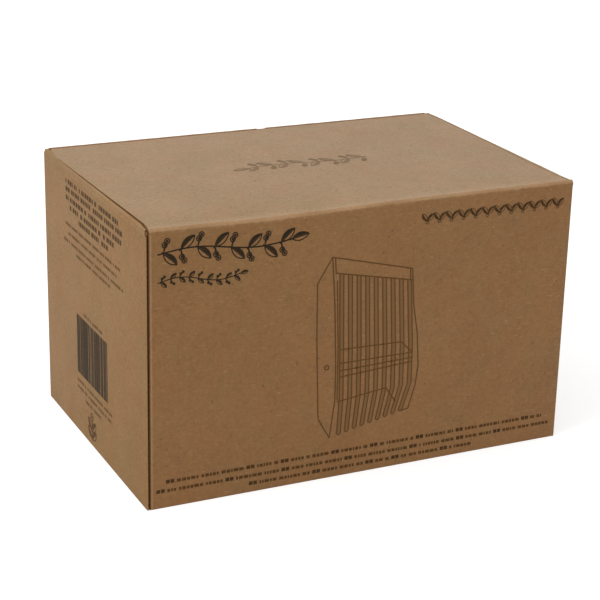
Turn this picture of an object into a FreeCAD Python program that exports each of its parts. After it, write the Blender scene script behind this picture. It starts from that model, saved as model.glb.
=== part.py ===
"""Boxed berry picking rake: a closed corrugated carton that holds the complete rake.

Row frame in millimetres: origin at the centre of the carton's base, X along the carton's length,
the wall that carries the lid's crease at -Y, Z up. The rake lies with its closed end at -X, its
tines down on the carton's floor and its handle up.
"""
import FreeCAD, Part
import os
import re
import Sketcher

XY, XZ, YZ = "XY_Plane", "XZ_Plane", "YZ_Plane"

# Driving dimensions: lengths in millimetres, angles in degrees
DRIVING = {
    # Carton
    "carton_length": 300,
    "carton_width": 198,
    "carton_height": 184,
    "board": 2,
    "fold_gap": 0.3,
    "fold_radius": 1.5,
    # Doubled side walls
    "roll_gap": 0.4,
    "roll_start": 1,
    "corner_clip": 3,
    "inner_end_gap": 0.5,
    "ear_length": 80,
    "ear_slope": 12,
    "ear_drop": 4,
    "tab_width": 30,
    "tab_spacing": 90,
    "slot_gap": 0.25,
    # Lid and tuck flap
    "lid_relief_run": 5,
    "lid_waist_run": 13,
    "lid_waist_inset": 3.4,
    "lid_shoulder_run": 20,
    "lid_shoulder_inset": 0.9,
    "lid_tuck_inset": 3.4,
    "tuck_gap": 1,
    "tuck_depth": 40,
    "tuck_lean": 9,
    "tuck_inset": 4.6,
    "tuck_corner": 14,
    "notch_width": 5,
    "notch_depth": 0.7,
    "notch_place": 12,
    # Rake, side plates
    "rake_width": 134,
    "rake_gap": 0.3,
    "rake_end_gap": 16,
    "plate": 5,
    "plate_depth": 98,
    "bend_radius": 170,
    "bend_angle": 38.5,
    "slant_run": 41,
    "tip_slant": 26,
    # Boards between the side plates
    "rail_length": 22,
    "rail_height": 16,
    "end_board_width": 5.4,
    "roof_setback": 15.4,
    "roof_board": 5,
    # Tines and the bar across them
    "tine_radius": 3,
    "tine_skid": 1.5,
    "tine_depth": 16,
    "tine_edge": 8,
    "bar_length": 8,
    "bar_height": 10,
    "bar_gap": 0.05,
    "glue_gap": 0.05,
    # Door and axle
    "axle_radius": 2.5,
    "axle_past_bend": 9,
    "axle_height": 62,
    "running_gap": 0.05,
    "sleeve_wall": 1.1,
    "door_sheet": 1,
    "door_side_gap": 1,
    "door_foot": 10,
    "hem_radius": 1.3,
    "door_stop_gap": 0.3,
    "cap_radius": 6,
    "cap_height": 4,
    "cap_wall": 1.5,
    # Handle
    "handle_share": 0.71,
    "grip_start_inset": 25.6,
    "grip_end_inset": 32.6,
    "grip_end_radius": 11,
    "grip_swell": 3,
    "strap": 2,
    "strap_width": 18,
    "strap_foot": 30,
    "strap_bend": 3,
    "strap_crown": 10,
    "bolt_radius": 2,
    "bolt_head_radius": 4,
    "bolt_head_height": 2.2,
    "bolt_end": 1.2,
    "bolt_near": 11,
    "bolt_spacing": 11,
    "nut_radius": 4,
    "nut_height": 3.2,
    # Wood screws
    "screw_radius": 1.2,
    "screw_head_radius": 2.4,
    "screw_tip_radius": 1.6,
    "screw_head_height": 1.2,
    "screw_reach": 16,
    "rail_screw_inset": 4,
    "rail_screw_first": 6,
    "rail_screw_step": 10,
    "end_screw_low": 40,
    "end_screw_step": 35,
    "roof_screw_inset": 14,
    "grip_screw_reach": 18,
}

# Counts
TINES = 9
ROOF_SCREWS = 3

# The lid's side: half widths and their places, from the crease to the tuck flap
LID_SIDE = [("lid_half_hinge", "lid_relief"), ("lid_half_waist", "lid_waist"),
            ("lid_half_shoulder", "lid_shoulder")]

# Sizes worked out from the driving dimensions
DERIVED = {
    "zero": "0",
    "half_length": "carton_length / 2",
    "half_width": "carton_width / 2",
    "two_boards": "2 * board",
    "three_boards": "3 * board",
    "wall_half": "half_length - board",
    "floor_half_width": "half_width - board",
    "side_height": "carton_height - board",
    "front_height": "carton_height - board - fold_gap",
    "inner_height": "carton_height - board - fold_gap",
    "inner_half_width": "half_width - board - inner_end_gap",
    "ear_height": "carton_height - board - ear_drop",
    "ear_low": "ear_height - ear_slope",
    "clip_height": "front_height - corner_clip",
    "roll_front": "roll_start - half_width",
    "slot_half": "tab_width / 2 + slot_gap",
    "tab_half": "tab_width / 2",
    "tab_place": "tab_spacing / 2",
    "slot_depth": "board + 2 * slot_gap",
    "lid_half_hinge": "wall_half - fold_gap",
    "lid_half_waist": "half_length - lid_waist_inset",
    "lid_half_shoulder": "half_length - lid_shoulder_inset",
    "lid_half_tuck": "half_length - lid_tuck_inset",
    "lid_relief": "lid_relief_run - half_width",
    "lid_waist": "lid_waist_run - half_width",
    "lid_end": "half_width - board - tuck_gap",
    "lid_shoulder": "lid_end - lid_shoulder_run",
    "tuck_half": "lid_half_tuck - tuck_inset",
    "tuck_root": "(board + fold_gap + board * sin(tuck_lean)) / cos(tuck_lean)",
    "tuck_end": "tuck_root + tuck_depth",
    "notch_low": "carton_height - notch_depth",
    "notch_left": "notch_place - notch_width / 2",
    "notch_right": "notch_place + notch_width / 2",
    "bend_run": "bend_radius * sin(bend_angle)",
    "bend_rise": "bend_radius * (1 - cos(bend_angle))",
    "rake_length": "carton_length - 2 * three_boards - 2 * rake_end_gap",
    "straight": "rake_length - bend_run",
    "rake_back": "-rake_length / 2",
    "rake_floor": "board + rake_gap",
    "rake_half": "rake_width / 2",
    "inside_half": "rake_half - plate",
    "inside_width": "rake_width - 2 * plate",
    "roof_edge_end": "rake_length - tip_slant",
    "slant_share": "slant_run / plate_depth",
    "rail_start": "slant_share * rail_height",
    "rail_screw_height": "rail_height - rail_screw_inset",
    "roof_under": "plate_depth - roof_board",
    "roof_start": "slant_run + end_board_width",
    "roof_start_under": "slant_share * roof_under + end_board_width",
    "roof_end": "roof_edge_end - roof_setback",
    "roof_screw_first": "roof_start + roof_screw_inset",
    "roof_screw_last": "roof_end - roof_screw_inset",
    "roof_middle": "plate_depth - roof_board / 2",
    "tine_axis": "tine_skid + tine_radius",
    "tine_bend": "bend_radius - tine_axis",
    "tine_root": "rail_start + rail_length - tine_depth",
    "tine_run": "straight - tine_root",
    "tine_centre": "tine_axis + tine_bend",
    "tine_tip_x": "straight + tine_bend * sin(bend_angle)",
    "tine_tip_z": "tine_centre - tine_bend * cos(bend_angle)",
    "tine_first": "tine_edge - inside_half",
    "tine_hole": "tine_radius + glue_gap",
    "axle_place": "straight + axle_past_bend",
    "bar_start": "axle_place + hem_radius + door_stop_gap",
    "bar_past_bend": "bar_start + bar_length - straight",
    "tine_top_curve": "tine_bend - tine_radius",
    "tine_top_drop": "sqrt(tine_top_curve * tine_top_curve - bar_past_bend * bar_past_bend)",
    "bar_floor": "tine_centre - tine_top_drop + bar_gap",
    "bar_middle": "bar_start + bar_length / 2",
    "bar_mid_height": "bar_floor + bar_height / 2",
    "axle_hole": "axle_radius + running_gap",
    "axle_length": "rake_width + 2 * (cap_height - cap_wall)",
    "axle_start": "axle_length / 2",
    "sleeve_radius": "axle_hole + sleeve_wall",
    "door_half": "inside_half - door_side_gap",
    "door_width": "2 * door_half",
    "door_drop": "axle_height - door_foot - hem_radius",
    "door_face": "axle_place - door_sheet / 2",
    "hem_height": "door_foot + hem_radius",
    "cap_bore": "cap_height - cap_wall",
    "handle_room": "carton_height - board - rake_floor - plate_depth",
    "strap_height": "handle_share * handle_room",
    "grip_axis": "plate_depth + strap_height - strap_crown",
    "grip_place": "roof_start + grip_start_inset",
    "grip_end": "roof_end - grip_end_inset",
    "grip_length": "grip_end - grip_place",
    "grip_half": "grip_length / 2",
    "grip_curve": "(grip_half * grip_half + grip_swell * grip_swell) / (2 * grip_swell)",
    "grip_bore": "screw_radius + glue_gap",
    "grip_bore_end": "grip_length - grip_screw_reach",
    "strap_outer": "strap + strap_bend",
    "strap_half": "strap_width / 2",
    "bolt_hole": "bolt_radius + glue_gap",
    "bolt_shank": "strap + roof_board + nut_height + bolt_end",
    "bolt_foot": "plate_depth + strap - bolt_shank",
    "nut_floor": "plate_depth - roof_board - nut_height",
    "screw_hole": "screw_radius + glue_gap",
    "end_board_half": "end_board_width / 2",
}

doc = FreeCAD.newDocument("boxed_berry_rake")
sheet = doc.addObject("Spreadsheet::Sheet", "Sizes")
NAMES = {**DRIVING, **DERIVED}
NODES = []


def fill_sheet():
    """One row a size: its name, its value or formula, and the alias that features refer to."""
    for row, (name, value) in enumerate(NAMES.items(), start=1):
        sheet.set(f"A{row}", name)
        sheet.set(f"B{row}", f"={value}" if name in DERIVED else str(value))
        sheet.setAlias(f"B{row}", name)
    doc.recompute()


def linked(formula):
    """The formula with each plain size name turned into a reference to its cell."""
    return re.sub(r"[a-z][a-z_0-9]*",
                  lambda word: f"Sizes.{word[0]}" if word[0] in NAMES else word[0], formula)


def number(formula):
    """The present value of a signed sum of size names, such as 'half_width - board'."""
    total, sign = 0.0, 1
    for word in formula.replace("-", " - ").split():
        if word in "+-":
            sign = 1 if word == "+" else -1
        else:
            total += sign * sheet.get(word)
    return total


def place(thing, at, turn=None):
    """Set a thing's rotation, and bind its position to three formulas in the row frame."""
    if turn:
        thing.Placement = FreeCAD.Placement(FreeCAD.Vector(), turn)
    for axis, formula in zip("xyz", at):
        thing.setExpression(f"Placement.Base.{axis}", linked(formula))
    return thing


def on_rake(x, y, z):
    """A place given from the rake's closed end and its lowest edge, as formulas in the row frame."""
    return (f"rake_back + {x}", y, f"rake_floor + {z}")


def node(thing, label):
    """Name a finished sub-part and put it on the list of files to write."""
    thing.Label = label
    NODES.append(thing)
    return thing


def bound(kind, name, at, turn=None, **sizes):
    """A Part primitive whose properties are bound to formulas."""
    thing = doc.addObject(kind, name)
    for prop, formula in sizes.items():
        thing.setExpression(prop, linked(formula))
    return place(thing, at, turn)


def box(name, at, length, width, height):
    return bound("Part::Box", name, at, Length=length, Width=width, Height=height)


def turned(axis):
    """The rotation that takes a cylinder's own axis from +Z to a signed row axis."""
    targets = {"+X": (1, 0, 0), "-X": (-1, 0, 0), "+Y": (0, 1, 0), "-Y": (0, -1, 0),
               "+Z": (0, 0, 1), "-Z": (0, 0, -1)}
    return FreeCAD.Rotation(FreeCAD.Vector(0, 0, 1), FreeCAD.Vector(*targets[axis]))


def rod(name, at, axis, radius, length):
    return bound("Part::Cylinder", name, at, turned(axis), Radius=radius, Height=length)


def joined(name, things):
    fuse = doc.addObject("Part::MultiFuse", name)
    fuse.Shapes = things
    return fuse


def grouped(name, things):
    group = doc.addObject("Part::Compound", name)
    group.Links = things
    return group


def cut(name, base, tools):
    result = doc.addObject("Part::Cut", name)
    result.Base = base
    result.Tool = tools[0] if len(tools) == 1 else grouped(f"{name}_tools", tools)
    return result


def new_body(name):
    return doc.addObject("PartDesign::Body", name)


def origin_feature(body, role):
    return next(f for f in body.Origin.OriginFeatures if f.Role == role)


def sketch_on(body, plane, name):
    sketch = body.newObject("Sketcher::SketchObject", name)
    sketch.AttachmentSupport = [(origin_feature(body, plane), "")]
    sketch.MapMode = "FlatFace"
    return sketch


def pin_point(sketch, edge, end, point):
    """Hold one end of an edge at a point given as two formulas."""
    for kind, formula in zip(("DistanceX", "DistanceY"), point):
        index = sketch.addConstraint(Sketcher.Constraint(kind, -1, 1, edge, end, number(formula)))
        sketch.setExpression(f"Constraints[{index}]", linked(formula))


def arc_between(start, end, radius):
    """The arc under a half circle from start to end, anticlockwise when the radius is positive."""
    chord = end - start
    side = FreeCAD.Vector(-chord.y, chord.x, 0).normalize()
    rise = (radius * radius - chord.Length * chord.Length / 4) ** 0.5
    centre = (start + end) * 0.5 + side * (rise if radius > 0 else -rise)
    middle = centre + ((start + end) * 0.5 - centre).normalize() * abs(radius)
    return Part.Arc(start, middle, end)


def outline(sketch, points, arcs=None, holes=()):
    """A closed outline through points, each two formulas. arcs maps an edge's number to its radius
    formula, with a leading '-' where the arc runs clockwise. holes are (x, y, radius) formulas."""
    arcs = arcs or {}
    spots = [FreeCAD.Vector(number(x), number(y), 0) for x, y in points]
    for i, start in enumerate(spots):
        end = spots[(i + 1) % len(spots)]
        if i in arcs:
            sketch.addGeometry(arc_between(start, end, number(arcs[i])))
        else:
            sketch.addGeometry(Part.LineSegment(start, end))
    for i, point in enumerate(points):
        forward = i not in arcs or number(arcs[i]) > 0
        pin_point(sketch, i, 1 if forward else 2, point)
        pin_point(sketch, i, 2 if forward else 1, points[(i + 1) % len(points)])
        if i in arcs:
            size = abs(number(arcs[i]))
            index = sketch.addConstraint(Sketcher.Constraint("Radius", i, size))
            sketch.setExpression(f"Constraints[{index}]", linked(arcs[i].lstrip("-")))
    for x, y, radius in holes:
        centre = FreeCAD.Vector(number(x), number(y), 0)
        circle = sketch.addGeometry(Part.Circle(centre, FreeCAD.Vector(0, 0, 1), number(radius)))
        pin_point(sketch, circle, 3, (x, y))
        index = sketch.addConstraint(Sketcher.Constraint("Radius", circle, number(radius)))
        sketch.setExpression(f"Constraints[{index}]", linked(radius))


def slab(name, plane, points, thickness, at, arcs=None, holes=()):
    """A flat piece: an outline padded along +Z, +Y or +X, for an outline in XY, XZ or YZ."""
    body = new_body(name)
    sketch = sketch_on(body, plane, f"{name}_outline")
    outline(sketch, points, arcs, holes)
    pad = body.newObject("PartDesign::Pad", f"{name}_pad")
    pad.Profile = sketch
    pad.Reversed = plane == XZ
    pad.setExpression("Length", linked(thickness))
    return place(body, at)


# Carton


def bottom_panel():
    floor = box("bottom_sheet", ("-wall_half", "-floor_half_width", "zero"),
                "2 * wall_half", "2 * floor_half_width", "board")
    slots = []
    for side, edge in (("left", "two_boards - half_length - slot_gap"),
                       ("right", "half_length - three_boards - slot_gap")):
        for end, middle in (("front", "-tab_place"), ("back", "tab_place")):
            slots.append(box(f"slot_{side}_{end}", (edge, f"{middle} - slot_half", "-fold_gap"),
                             "slot_depth", "2 * slot_half", "board + 2 * fold_gap"))
    node(cut("bottom_panel", floor, slots), "bottom_panel")


def front_wall():
    """Stands between the side walls. Its two upright outer edges are rounded by their folds."""
    points = [("-wall_half", "zero"), ("-wall_half", "fold_radius - board"),
              ("fold_radius - wall_half", "-board"), ("wall_half - fold_radius", "-board"),
              ("wall_half", "fold_radius - board"), ("wall_half", "zero")]
    wall = slab("front_wall", XY, points, "front_height", ("zero", "board - half_width", "zero"),
                arcs={1: "fold_radius", 3: "fold_radius"})
    node(wall, "front_wall")


def back_wall():
    points = [("-wall_half", "zero"), ("wall_half", "zero"), ("wall_half", "carton_height"),
              ("notch_right", "carton_height"), ("notch_right", "notch_low"),
              ("notch_left", "notch_low"), ("notch_left", "carton_height"),
              ("-wall_half", "carton_height")]
    node(slab("back_wall", XZ, points, "board", ("zero", "half_width - board", "zero")), "back_wall")


def side_wall(side, sign):
    """One doubled end wall: outer panel, folded top strip, inner panel and the two ears between."""
    def across(from_edge, depth):
        """The low X of a layer that starts from_edge inside the outer face and is depth thick."""
        return f"{from_edge} - half_length" if sign < 0 else f"half_length - {from_edge} - {depth}"

    outer = [("-half_width", "zero"), ("half_width", "zero"), ("half_width", "front_height"),
             ("roll_front", "front_height"), ("-half_width", "clip_height")]
    node(slab(f"{side}_side_outer", YZ, outer, "board", (across("zero", "board"), "zero", "zero")),
         f"{side}_side_outer")

    def beside_lid(half):
        """The X of the folded strip's edge, a gap outside the lid's half width."""
        return f"-{half} - roll_gap" if sign < 0 else f"{half} + roll_gap"

    face = "-half_length" if sign < 0 else "half_length"
    strip = [(face, "roll_front"), (beside_lid("lid_half_hinge"), "roll_front")]
    strip += [(beside_lid(half), place) for half, place in LID_SIDE]
    strip += [(beside_lid("lid_half_tuck"), "floor_half_width"), (face, "floor_half_width")]
    node(slab(f"{side}_side_roll", XY, strip, "board + fold_gap", ("zero", "zero", "front_height")),
         f"{side}_side_roll")

    inner = [("-inner_half_width", "board")]
    for middle in ("-tab_place", "tab_place"):
        inner += [(f"{middle} - tab_half", "board"), (f"{middle} - tab_half", "fold_gap"),
                  (f"{middle} + tab_half", "fold_gap"), (f"{middle} + tab_half", "board")]
    inner += [("inner_half_width", "board"), ("inner_half_width", "inner_height"),
              ("-inner_half_width", "inner_height")]
    node(slab(f"{side}_side_inner", YZ, inner, "board",
              (across("two_boards", "board"), "zero", "zero")), f"{side}_side_inner")

    for end, root, tip in (("front", "-floor_half_width", "ear_length - floor_half_width"),
                           ("back", "floor_half_width", "floor_half_width - ear_length")):
        ear = [(root, "board"), (tip, "board"), (tip, "ear_low"), (root, "ear_height")]
        node(slab(f"ear_{end}_{side}", YZ, ear, "board", (across("board", "board"), "zero", "zero")),
             f"ear_{end}_{side}")


def lid():
    """Waisted beside its crease, widest at its shoulders. The hinge line is the front top edge."""
    side = [("lid_half_hinge", "-half_width"), *LID_SIDE, ("lid_half_tuck", "lid_end")]
    points = [(f"-{half}", place) for half, place in side] + side[::-1]
    panel = slab("lid_panel", XY, points, "board", ("zero", "zero", "side_height"))
    doc.recompute()
    pad = panel.Tip
    crease = next(f"Edge{i}" for i, edge in enumerate(pad.Shape.Edges, start=1)
                  if abs(edge.CenterOfMass.y + number("half_width")) < number("fold_gap")
                  and abs(edge.CenterOfMass.z - number("board")) < number("fold_gap"))
    rounding = panel.newObject("PartDesign::Fillet", "lid_crease")
    rounding.Base = (pad, [crease])
    rounding.setExpression("Radius", linked("fold_radius"))
    panel.Tip = rounding
    node(panel, "lid_panel")


def tuck_flap():
    """Hangs from the lid's free edge and leans in, so that it clears the back wall on its way."""
    points = [("-tuck_half", "-tuck_root"), ("-tuck_half", "tuck_corner - tuck_end"),
              ("tuck_corner - tuck_half", "-tuck_end"), ("tuck_half - tuck_corner", "-tuck_end"),
              ("tuck_half", "tuck_corner - tuck_end"), ("tuck_half", "-tuck_root")]
    flap = slab("tuck_flap", XZ, points, "board", ("zero", "lid_end", "carton_height"),
                arcs={1: "tuck_corner", 3: "tuck_corner"})
    pad = flap.Tip
    pad.Reversed = False
    flap.Placement.Rotation = FreeCAD.Rotation(FreeCAD.Vector(1, 0, 0), -number("tuck_lean"))
    flap.setExpression("Placement.Rotation.Angle", linked("-tuck_lean"))
    node(flap, "tuck_flap")


# Rake


def along_end_board(height):
    """The place along the rake of the end board's middle at a height, both as size names."""
    return f"slant_share * {height} + end_board_half"


def side_screw_spots():
    """Each board's screws: places along the rake and heights, as formulas."""
    return {
        "rail": [("rail_start + rail_screw_first", "rail_screw_height"),
                 ("rail_start + rail_screw_first + rail_screw_step", "rail_screw_height")],
        "end_board": [("end_screw_low_x", "end_screw_low"), ("end_screw_high_x", "end_screw_high")],
        "roof": [(f"roof_screw_x_{i}", "roof_middle") for i in range(ROOF_SCREWS)],
        "bar": [("bar_middle", "bar_mid_height")],
    }


def screw(name, at, axis):
    """A wood screw, with its head's seat at a place and its shank running along the axis."""
    away = {"+": "-", "-": "+"}[axis[0]] + axis[1]
    head = bound("Part::Cone", f"{name}_head", at, turned(away), Radius1="screw_head_radius",
                 Radius2="screw_tip_radius", Height="screw_head_height")
    return joined(name, [head, rod(f"{name}_shank", at, axis, "screw_radius", "screw_reach")])


def side_screws():
    """The screws through both side plates, one group for each board that they hold."""
    for board, spots in side_screw_spots().items():
        screws = []
        for i, (x, z) in enumerate(spots):
            screws.append(screw(f"{board}_screw_right_{i}", on_rake(x, "-rake_half", z), "+Y"))
            screws.append(screw(f"{board}_screw_left_{i}", on_rake(x, "rake_half", z), "-Y"))
        node(grouped(f"{board}_screws", screws), f"{board}_screws")


def side_plate(side, inner_face):
    """Flat lower edge that bends up to the tip, slanted closed end and slanted tip."""
    points = [("zero", "zero"), ("straight", "zero"), ("rake_length", "bend_rise"),
              ("roof_edge_end", "plate_depth"), ("slant_run", "plate_depth")]
    holes = [(x, z, "screw_hole") for spots in side_screw_spots().values() for x, z in spots]
    holes.append(("axle_place", "axle_height", "axle_hole"))
    node(slab(f"side_plate_{side}", XZ, points, "plate", on_rake("zero", inner_face, "zero"),
              arcs={1: "bend_radius"}, holes=holes), f"side_plate_{side}")


def pilot_holes(board):
    """Drills for a board's side screws, from both of its ends."""
    drills = []
    for i, (x, z) in enumerate(side_screw_spots()[board]):
        drills.append(rod(f"{board}_pilot_right_{i}", on_rake(x, "-rake_half", z), "+Y",
                          "screw_hole", "screw_reach + glue_gap"))
        drills.append(rod(f"{board}_pilot_left_{i}", on_rake(x, "rake_half", z), "-Y",
                          "screw_hole", "screw_reach + glue_gap"))
    return drills


def tine_places():
    return [f"tine_y_{i}" for i in range(TINES)]


def tine_rail():
    rail = box("rail_blank", on_rake("rail_start", "-inside_half", "zero"),
               "rail_length", "inside_width", "rail_height")
    sockets = [rod(f"tine_socket_{i}", on_rake("tine_root - glue_gap", y, "tine_axis"), "+X",
                   "tine_hole", "tine_depth + 2 * glue_gap") for i, y in enumerate(tine_places())]
    node(cut("tine_rail", rail, sockets + pilot_holes("rail")), "tine_rail")


def tines():
    """Round rods: a straight stretch, a bend up along the side plates' edge and a round tip."""
    upward = FreeCAD.Rotation(FreeCAD.Vector(0, 0, -1), FreeCAD.Vector(1, 0, 0),
                              FreeCAD.Vector(0, -1, 0), "XZY")
    rods = []
    for i, y in enumerate(tine_places()):
        stem = rod(f"tine_stem_{i}", on_rake("tine_root", y, "tine_axis"), "+X",
                   "tine_radius", "tine_run")
        bend = bound("Part::Torus", f"tine_bend_{i}", on_rake("straight", y, "tine_centre"), upward,
                     Radius1="tine_bend", Radius2="tine_radius", Angle3="bend_angle")
        tip = bound("Part::Sphere", f"tine_tip_{i}", on_rake("tine_tip_x", y, "tine_tip_z"),
                    Radius="tine_radius")
        rods.append(joined(f"tine_{i}", [stem, bend, tip]))
    node(grouped("tines", rods), "tines")


def end_board():
    """The slanted back of the scoop, on the tine rail and flush with the plates' slanted edge."""
    points = [("rail_start", "rail_height"), ("rail_start + end_board_width", "rail_height"),
              ("roof_start", "plate_depth"), ("slant_run", "plate_depth")]
    blank = slab("end_board_blank", XZ, points, "inside_width", on_rake("zero", "-inside_half", "zero"))
    node(cut("end_board", blank, pilot_holes("end_board")), "end_board")


def bolt_places():
    """Where the handle's bolts stand: two in each strap's foot, counted from the strap's upright."""
    return [("grip_place + bolt_near", "front"), ("grip_place + bolt_near + bolt_spacing", "front"),
            ("grip_end - bolt_near", "back"), ("grip_end - bolt_near - bolt_spacing", "back")]


def roof_board():
    points = [("roof_start_under", "roof_under"), ("roof_end", "roof_under"),
              ("roof_end", "plate_depth"), ("roof_start", "plate_depth")]
    blank = slab("roof_blank", XZ, points, "inside_width", on_rake("zero", "-inside_half", "zero"))
    drills = [rod(f"roof_bolt_hole_{i}", on_rake(x, "zero", "roof_under - glue_gap"), "+Z",
                  "bolt_hole", "roof_board + 2 * glue_gap") for i, (x, _) in enumerate(bolt_places())]
    node(cut("roof_board", blank, drills + pilot_holes("roof")), "roof_board")


def tine_bar():
    """Lies across the tines just in front of the door, and is the door's stop."""
    bar = box("bar_blank", on_rake("bar_start", "-inside_half", "bar_floor"),
              "bar_length", "inside_width", "bar_height")
    node(cut("tine_bar", bar, pilot_holes("bar")), "tine_bar")


def door():
    """A hanging sheet with a sleeve around the axle and a rolled hem at its foot."""
    sleeve = rod("door_sleeve", on_rake("axle_place", "-door_half", "axle_height"), "+Y",
                 "sleeve_radius", "door_width")
    flap = box("door_sheet_blank", on_rake("door_face", "-door_half", "hem_height"),
               "door_sheet", "door_width", "door_drop")
    hem = rod("door_hem", on_rake("axle_place", "-door_half", "hem_height"), "+Y",
              "hem_radius", "door_width")
    bore = rod("door_bore", on_rake("axle_place", "-door_half - glue_gap", "axle_height"), "+Y",
               "axle_hole", "door_width + 2 * glue_gap")
    node(cut("door", joined("door_blank", [sleeve, flap, hem]), [bore]), "door")


def door_axle():
    node(rod("door_axle", on_rake("axle_place", "-axle_start", "axle_height"), "+Y",
             "axle_radius", "axle_length"), "door_axle")
    caps = []
    for side, face, axis in (("right", "-rake_half", "-Y"), ("left", "rake_half", "+Y")):
        button = rod(f"cap_button_{side}", on_rake("axle_place", face, "axle_height"), axis,
                     "cap_radius", "cap_height")
        bore = rod(f"cap_bore_{side}", on_rake("axle_place", face, "axle_height"), axis,
                   "axle_hole", "cap_bore + glue_gap")
        caps.append(cut(f"cap_{side}", button, [bore]))
    node(grouped("axle_caps", caps), "axle_caps")


def handle_grip():
    """Turned wood, swelled to the middle, with a pilot bore in each end."""
    body = new_body("handle_grip")
    sketch = sketch_on(body, XZ, "grip_section")
    points = [("zero", "grip_bore"), ("grip_screw_reach", "grip_bore"), ("grip_screw_reach", "zero"),
              ("grip_bore_end", "zero"), ("grip_bore_end", "grip_bore"), ("grip_length", "grip_bore"),
              ("grip_length", "grip_end_radius"), ("zero", "grip_end_radius")]
    outline(sketch, points, arcs={6: "grip_curve"})
    turn = body.newObject("PartDesign::Revolution", "grip_turning")
    turn.Profile = sketch
    turn.ReferenceAxis = (origin_feature(body, "X_Axis"), [""])
    place(body, on_rake("grip_place", "zero", "grip_axis"))
    node(body, "handle_grip")


def handle_strap(end, at_x, sign):
    """A bent steel strap: a foot bolted to the roof, under the grip, and an upright at its end."""
    def along(name):
        return name if sign > 0 else f"-{name}"

    points = [(along("strap_outer"), "zero"), (along("strap_foot"), "zero"),
              (along("strap_foot"), "strap"), (along("strap_outer"), "strap"),
              (along("strap"), "strap_outer"), (along("strap"), "strap_height"),
              ("zero", "strap_height"), ("zero", "strap_outer")]
    bends = {3: "-strap_bend", 7: "strap_outer"} if sign > 0 else {3: "strap_bend", 7: "-strap_outer"}
    blank = slab(f"strap_blank_{end}", XZ, points, "strap_width",
                 on_rake(at_x, "-strap_half", "plate_depth"), arcs=bends)
    drills = [rod(f"strap_bolt_hole_{end}_{i}", on_rake(x, "zero", "plate_depth - glue_gap"), "+Z",
                  "bolt_hole", "strap + 2 * glue_gap")
              for i, (x, which) in enumerate(bolt_places()) if which == end]
    drills.append(rod(f"strap_grip_hole_{end}", on_rake(f"{at_x} - strap_foot", "zero", "grip_axis"),
                      "+X", "grip_bore", "2 * strap_foot"))
    node(cut(f"handle_strap_{end}", blank, drills), f"handle_strap_{end}")


def grip_screws():
    screws = []
    for end, x, axis in (("front", "grip_place - strap", "+X"), ("back", "grip_end + strap", "-X")):
        at = on_rake(x, "zero", "grip_axis")
        away = {"+X": "-X", "-X": "+X"}[axis]
        head = bound("Part::Cone", f"grip_screw_head_{end}", at, turned(away),
                     Radius1="bolt_head_radius", Radius2="bolt_radius", Height="bolt_head_height")
        shank = rod(f"grip_screw_shank_{end}", at, axis, "screw_radius", "grip_screw_reach")
        screws.append(joined(f"grip_screw_{end}", [head, shank]))
    node(grouped("grip_screws", screws), "grip_screws")


def bolts_and_nuts():
    bolts, nuts = [], []
    for i, (x, _) in enumerate(bolt_places()):
        head = bound("Part::Cone", f"bolt_head_{i}", on_rake(x, "zero", "plate_depth + strap"),
                     Radius1="bolt_head_radius", Radius2="bolt_radius", Height="bolt_head_height")
        shank = rod(f"bolt_shank_{i}", on_rake(x, "zero", "bolt_foot"), "+Z",
                    "bolt_radius", "bolt_shank")
        bolts.append(joined(f"bolt_{i}", [head, shank]))
        block = bound("Part::Prism", f"nut_block_{i}", on_rake(x, "zero", "nut_floor"),
                      Circumradius="nut_radius", Height="nut_height")
        bore = rod(f"nut_bore_{i}", on_rake(x, "zero", "nut_floor - glue_gap"), "+Z",
                   "bolt_hole", "nut_height + 2 * glue_gap")
        nuts.append(cut(f"nut_{i}", block, [bore]))
    node(grouped("bracket_bolts", bolts), "bracket_bolts")
    node(grouped("bracket_nuts", nuts), "bracket_nuts")


def name_repeats():
    """Cells for what repeats: the tines across the rake and the screws along the roof and end."""
    pitch = f"(inside_width - 2 * tine_edge) / {TINES - 1}"
    DERIVED["tine_pitch"] = pitch
    for i in range(TINES):
        DERIVED[f"tine_y_{i}"] = f"tine_first + {i} * tine_pitch"
    DERIVED["roof_screw_step"] = f"(roof_screw_last - roof_screw_first) / {ROOF_SCREWS - 1}"
    for i in range(ROOF_SCREWS):
        DERIVED[f"roof_screw_x_{i}"] = f"roof_screw_first + {i} * roof_screw_step"
    DERIVED["end_screw_high"] = "end_screw_low + end_screw_step"
    DERIVED["end_screw_low_x"] = along_end_board("end_screw_low")
    DERIVED["end_screw_high_x"] = along_end_board("end_screw_high")
    NAMES.update(DERIVED)


def check_and_write():
    """Every object computed, every sub-part one or more valid solids, then one file for each."""
    doc.recompute()
    failed = [o.Label for o in doc.Objects if {"Invalid", "Error"} & set(o.State)]
    if failed:
        raise RuntimeError(f"objects failed to compute: {failed}")
    for part in NODES:
        if part.Shape.isNull() or not part.Shape.isValid() or not part.Shape.Solids:
            raise RuntimeError(f"{part.Label} has no valid solid")
    os.makedirs("parts", exist_ok=True)
    for part in NODES:
        part.Shape.exportStep(f"parts/{part.Label}.step")
        print(f"{part.Label}: {len(part.Shape.Solids)} solids, {part.Shape.Volume:.0f} mm3")


name_repeats()
fill_sheet()
bottom_panel()
front_wall()
back_wall()
side_wall("left", -1)
side_wall("right", 1)
lid()
tuck_flap()
side_plate("right", "-rake_half")
side_plate("left", "inside_half")
tine_rail()
tines()
end_board()
roof_board()
tine_bar()
door()
door_axle()
handle_grip()
handle_strap("front", "grip_place - strap", 1)
handle_strap("back", "grip_end + strap", -1)
grip_screws()
bolts_and_nuts()
side_screws()
check_and_write()
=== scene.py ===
"""Looks of the boxed berry picking rake, laid out as a Blender add-on and run as a script.

Lengths inside the mesh functions are millimetres in the row frame. finish_piece() turns them into metres.
"""
import math
import random

import bmesh
import bpy
from mathutils import Matrix, Vector
from mathutils import noise as noise_at


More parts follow.
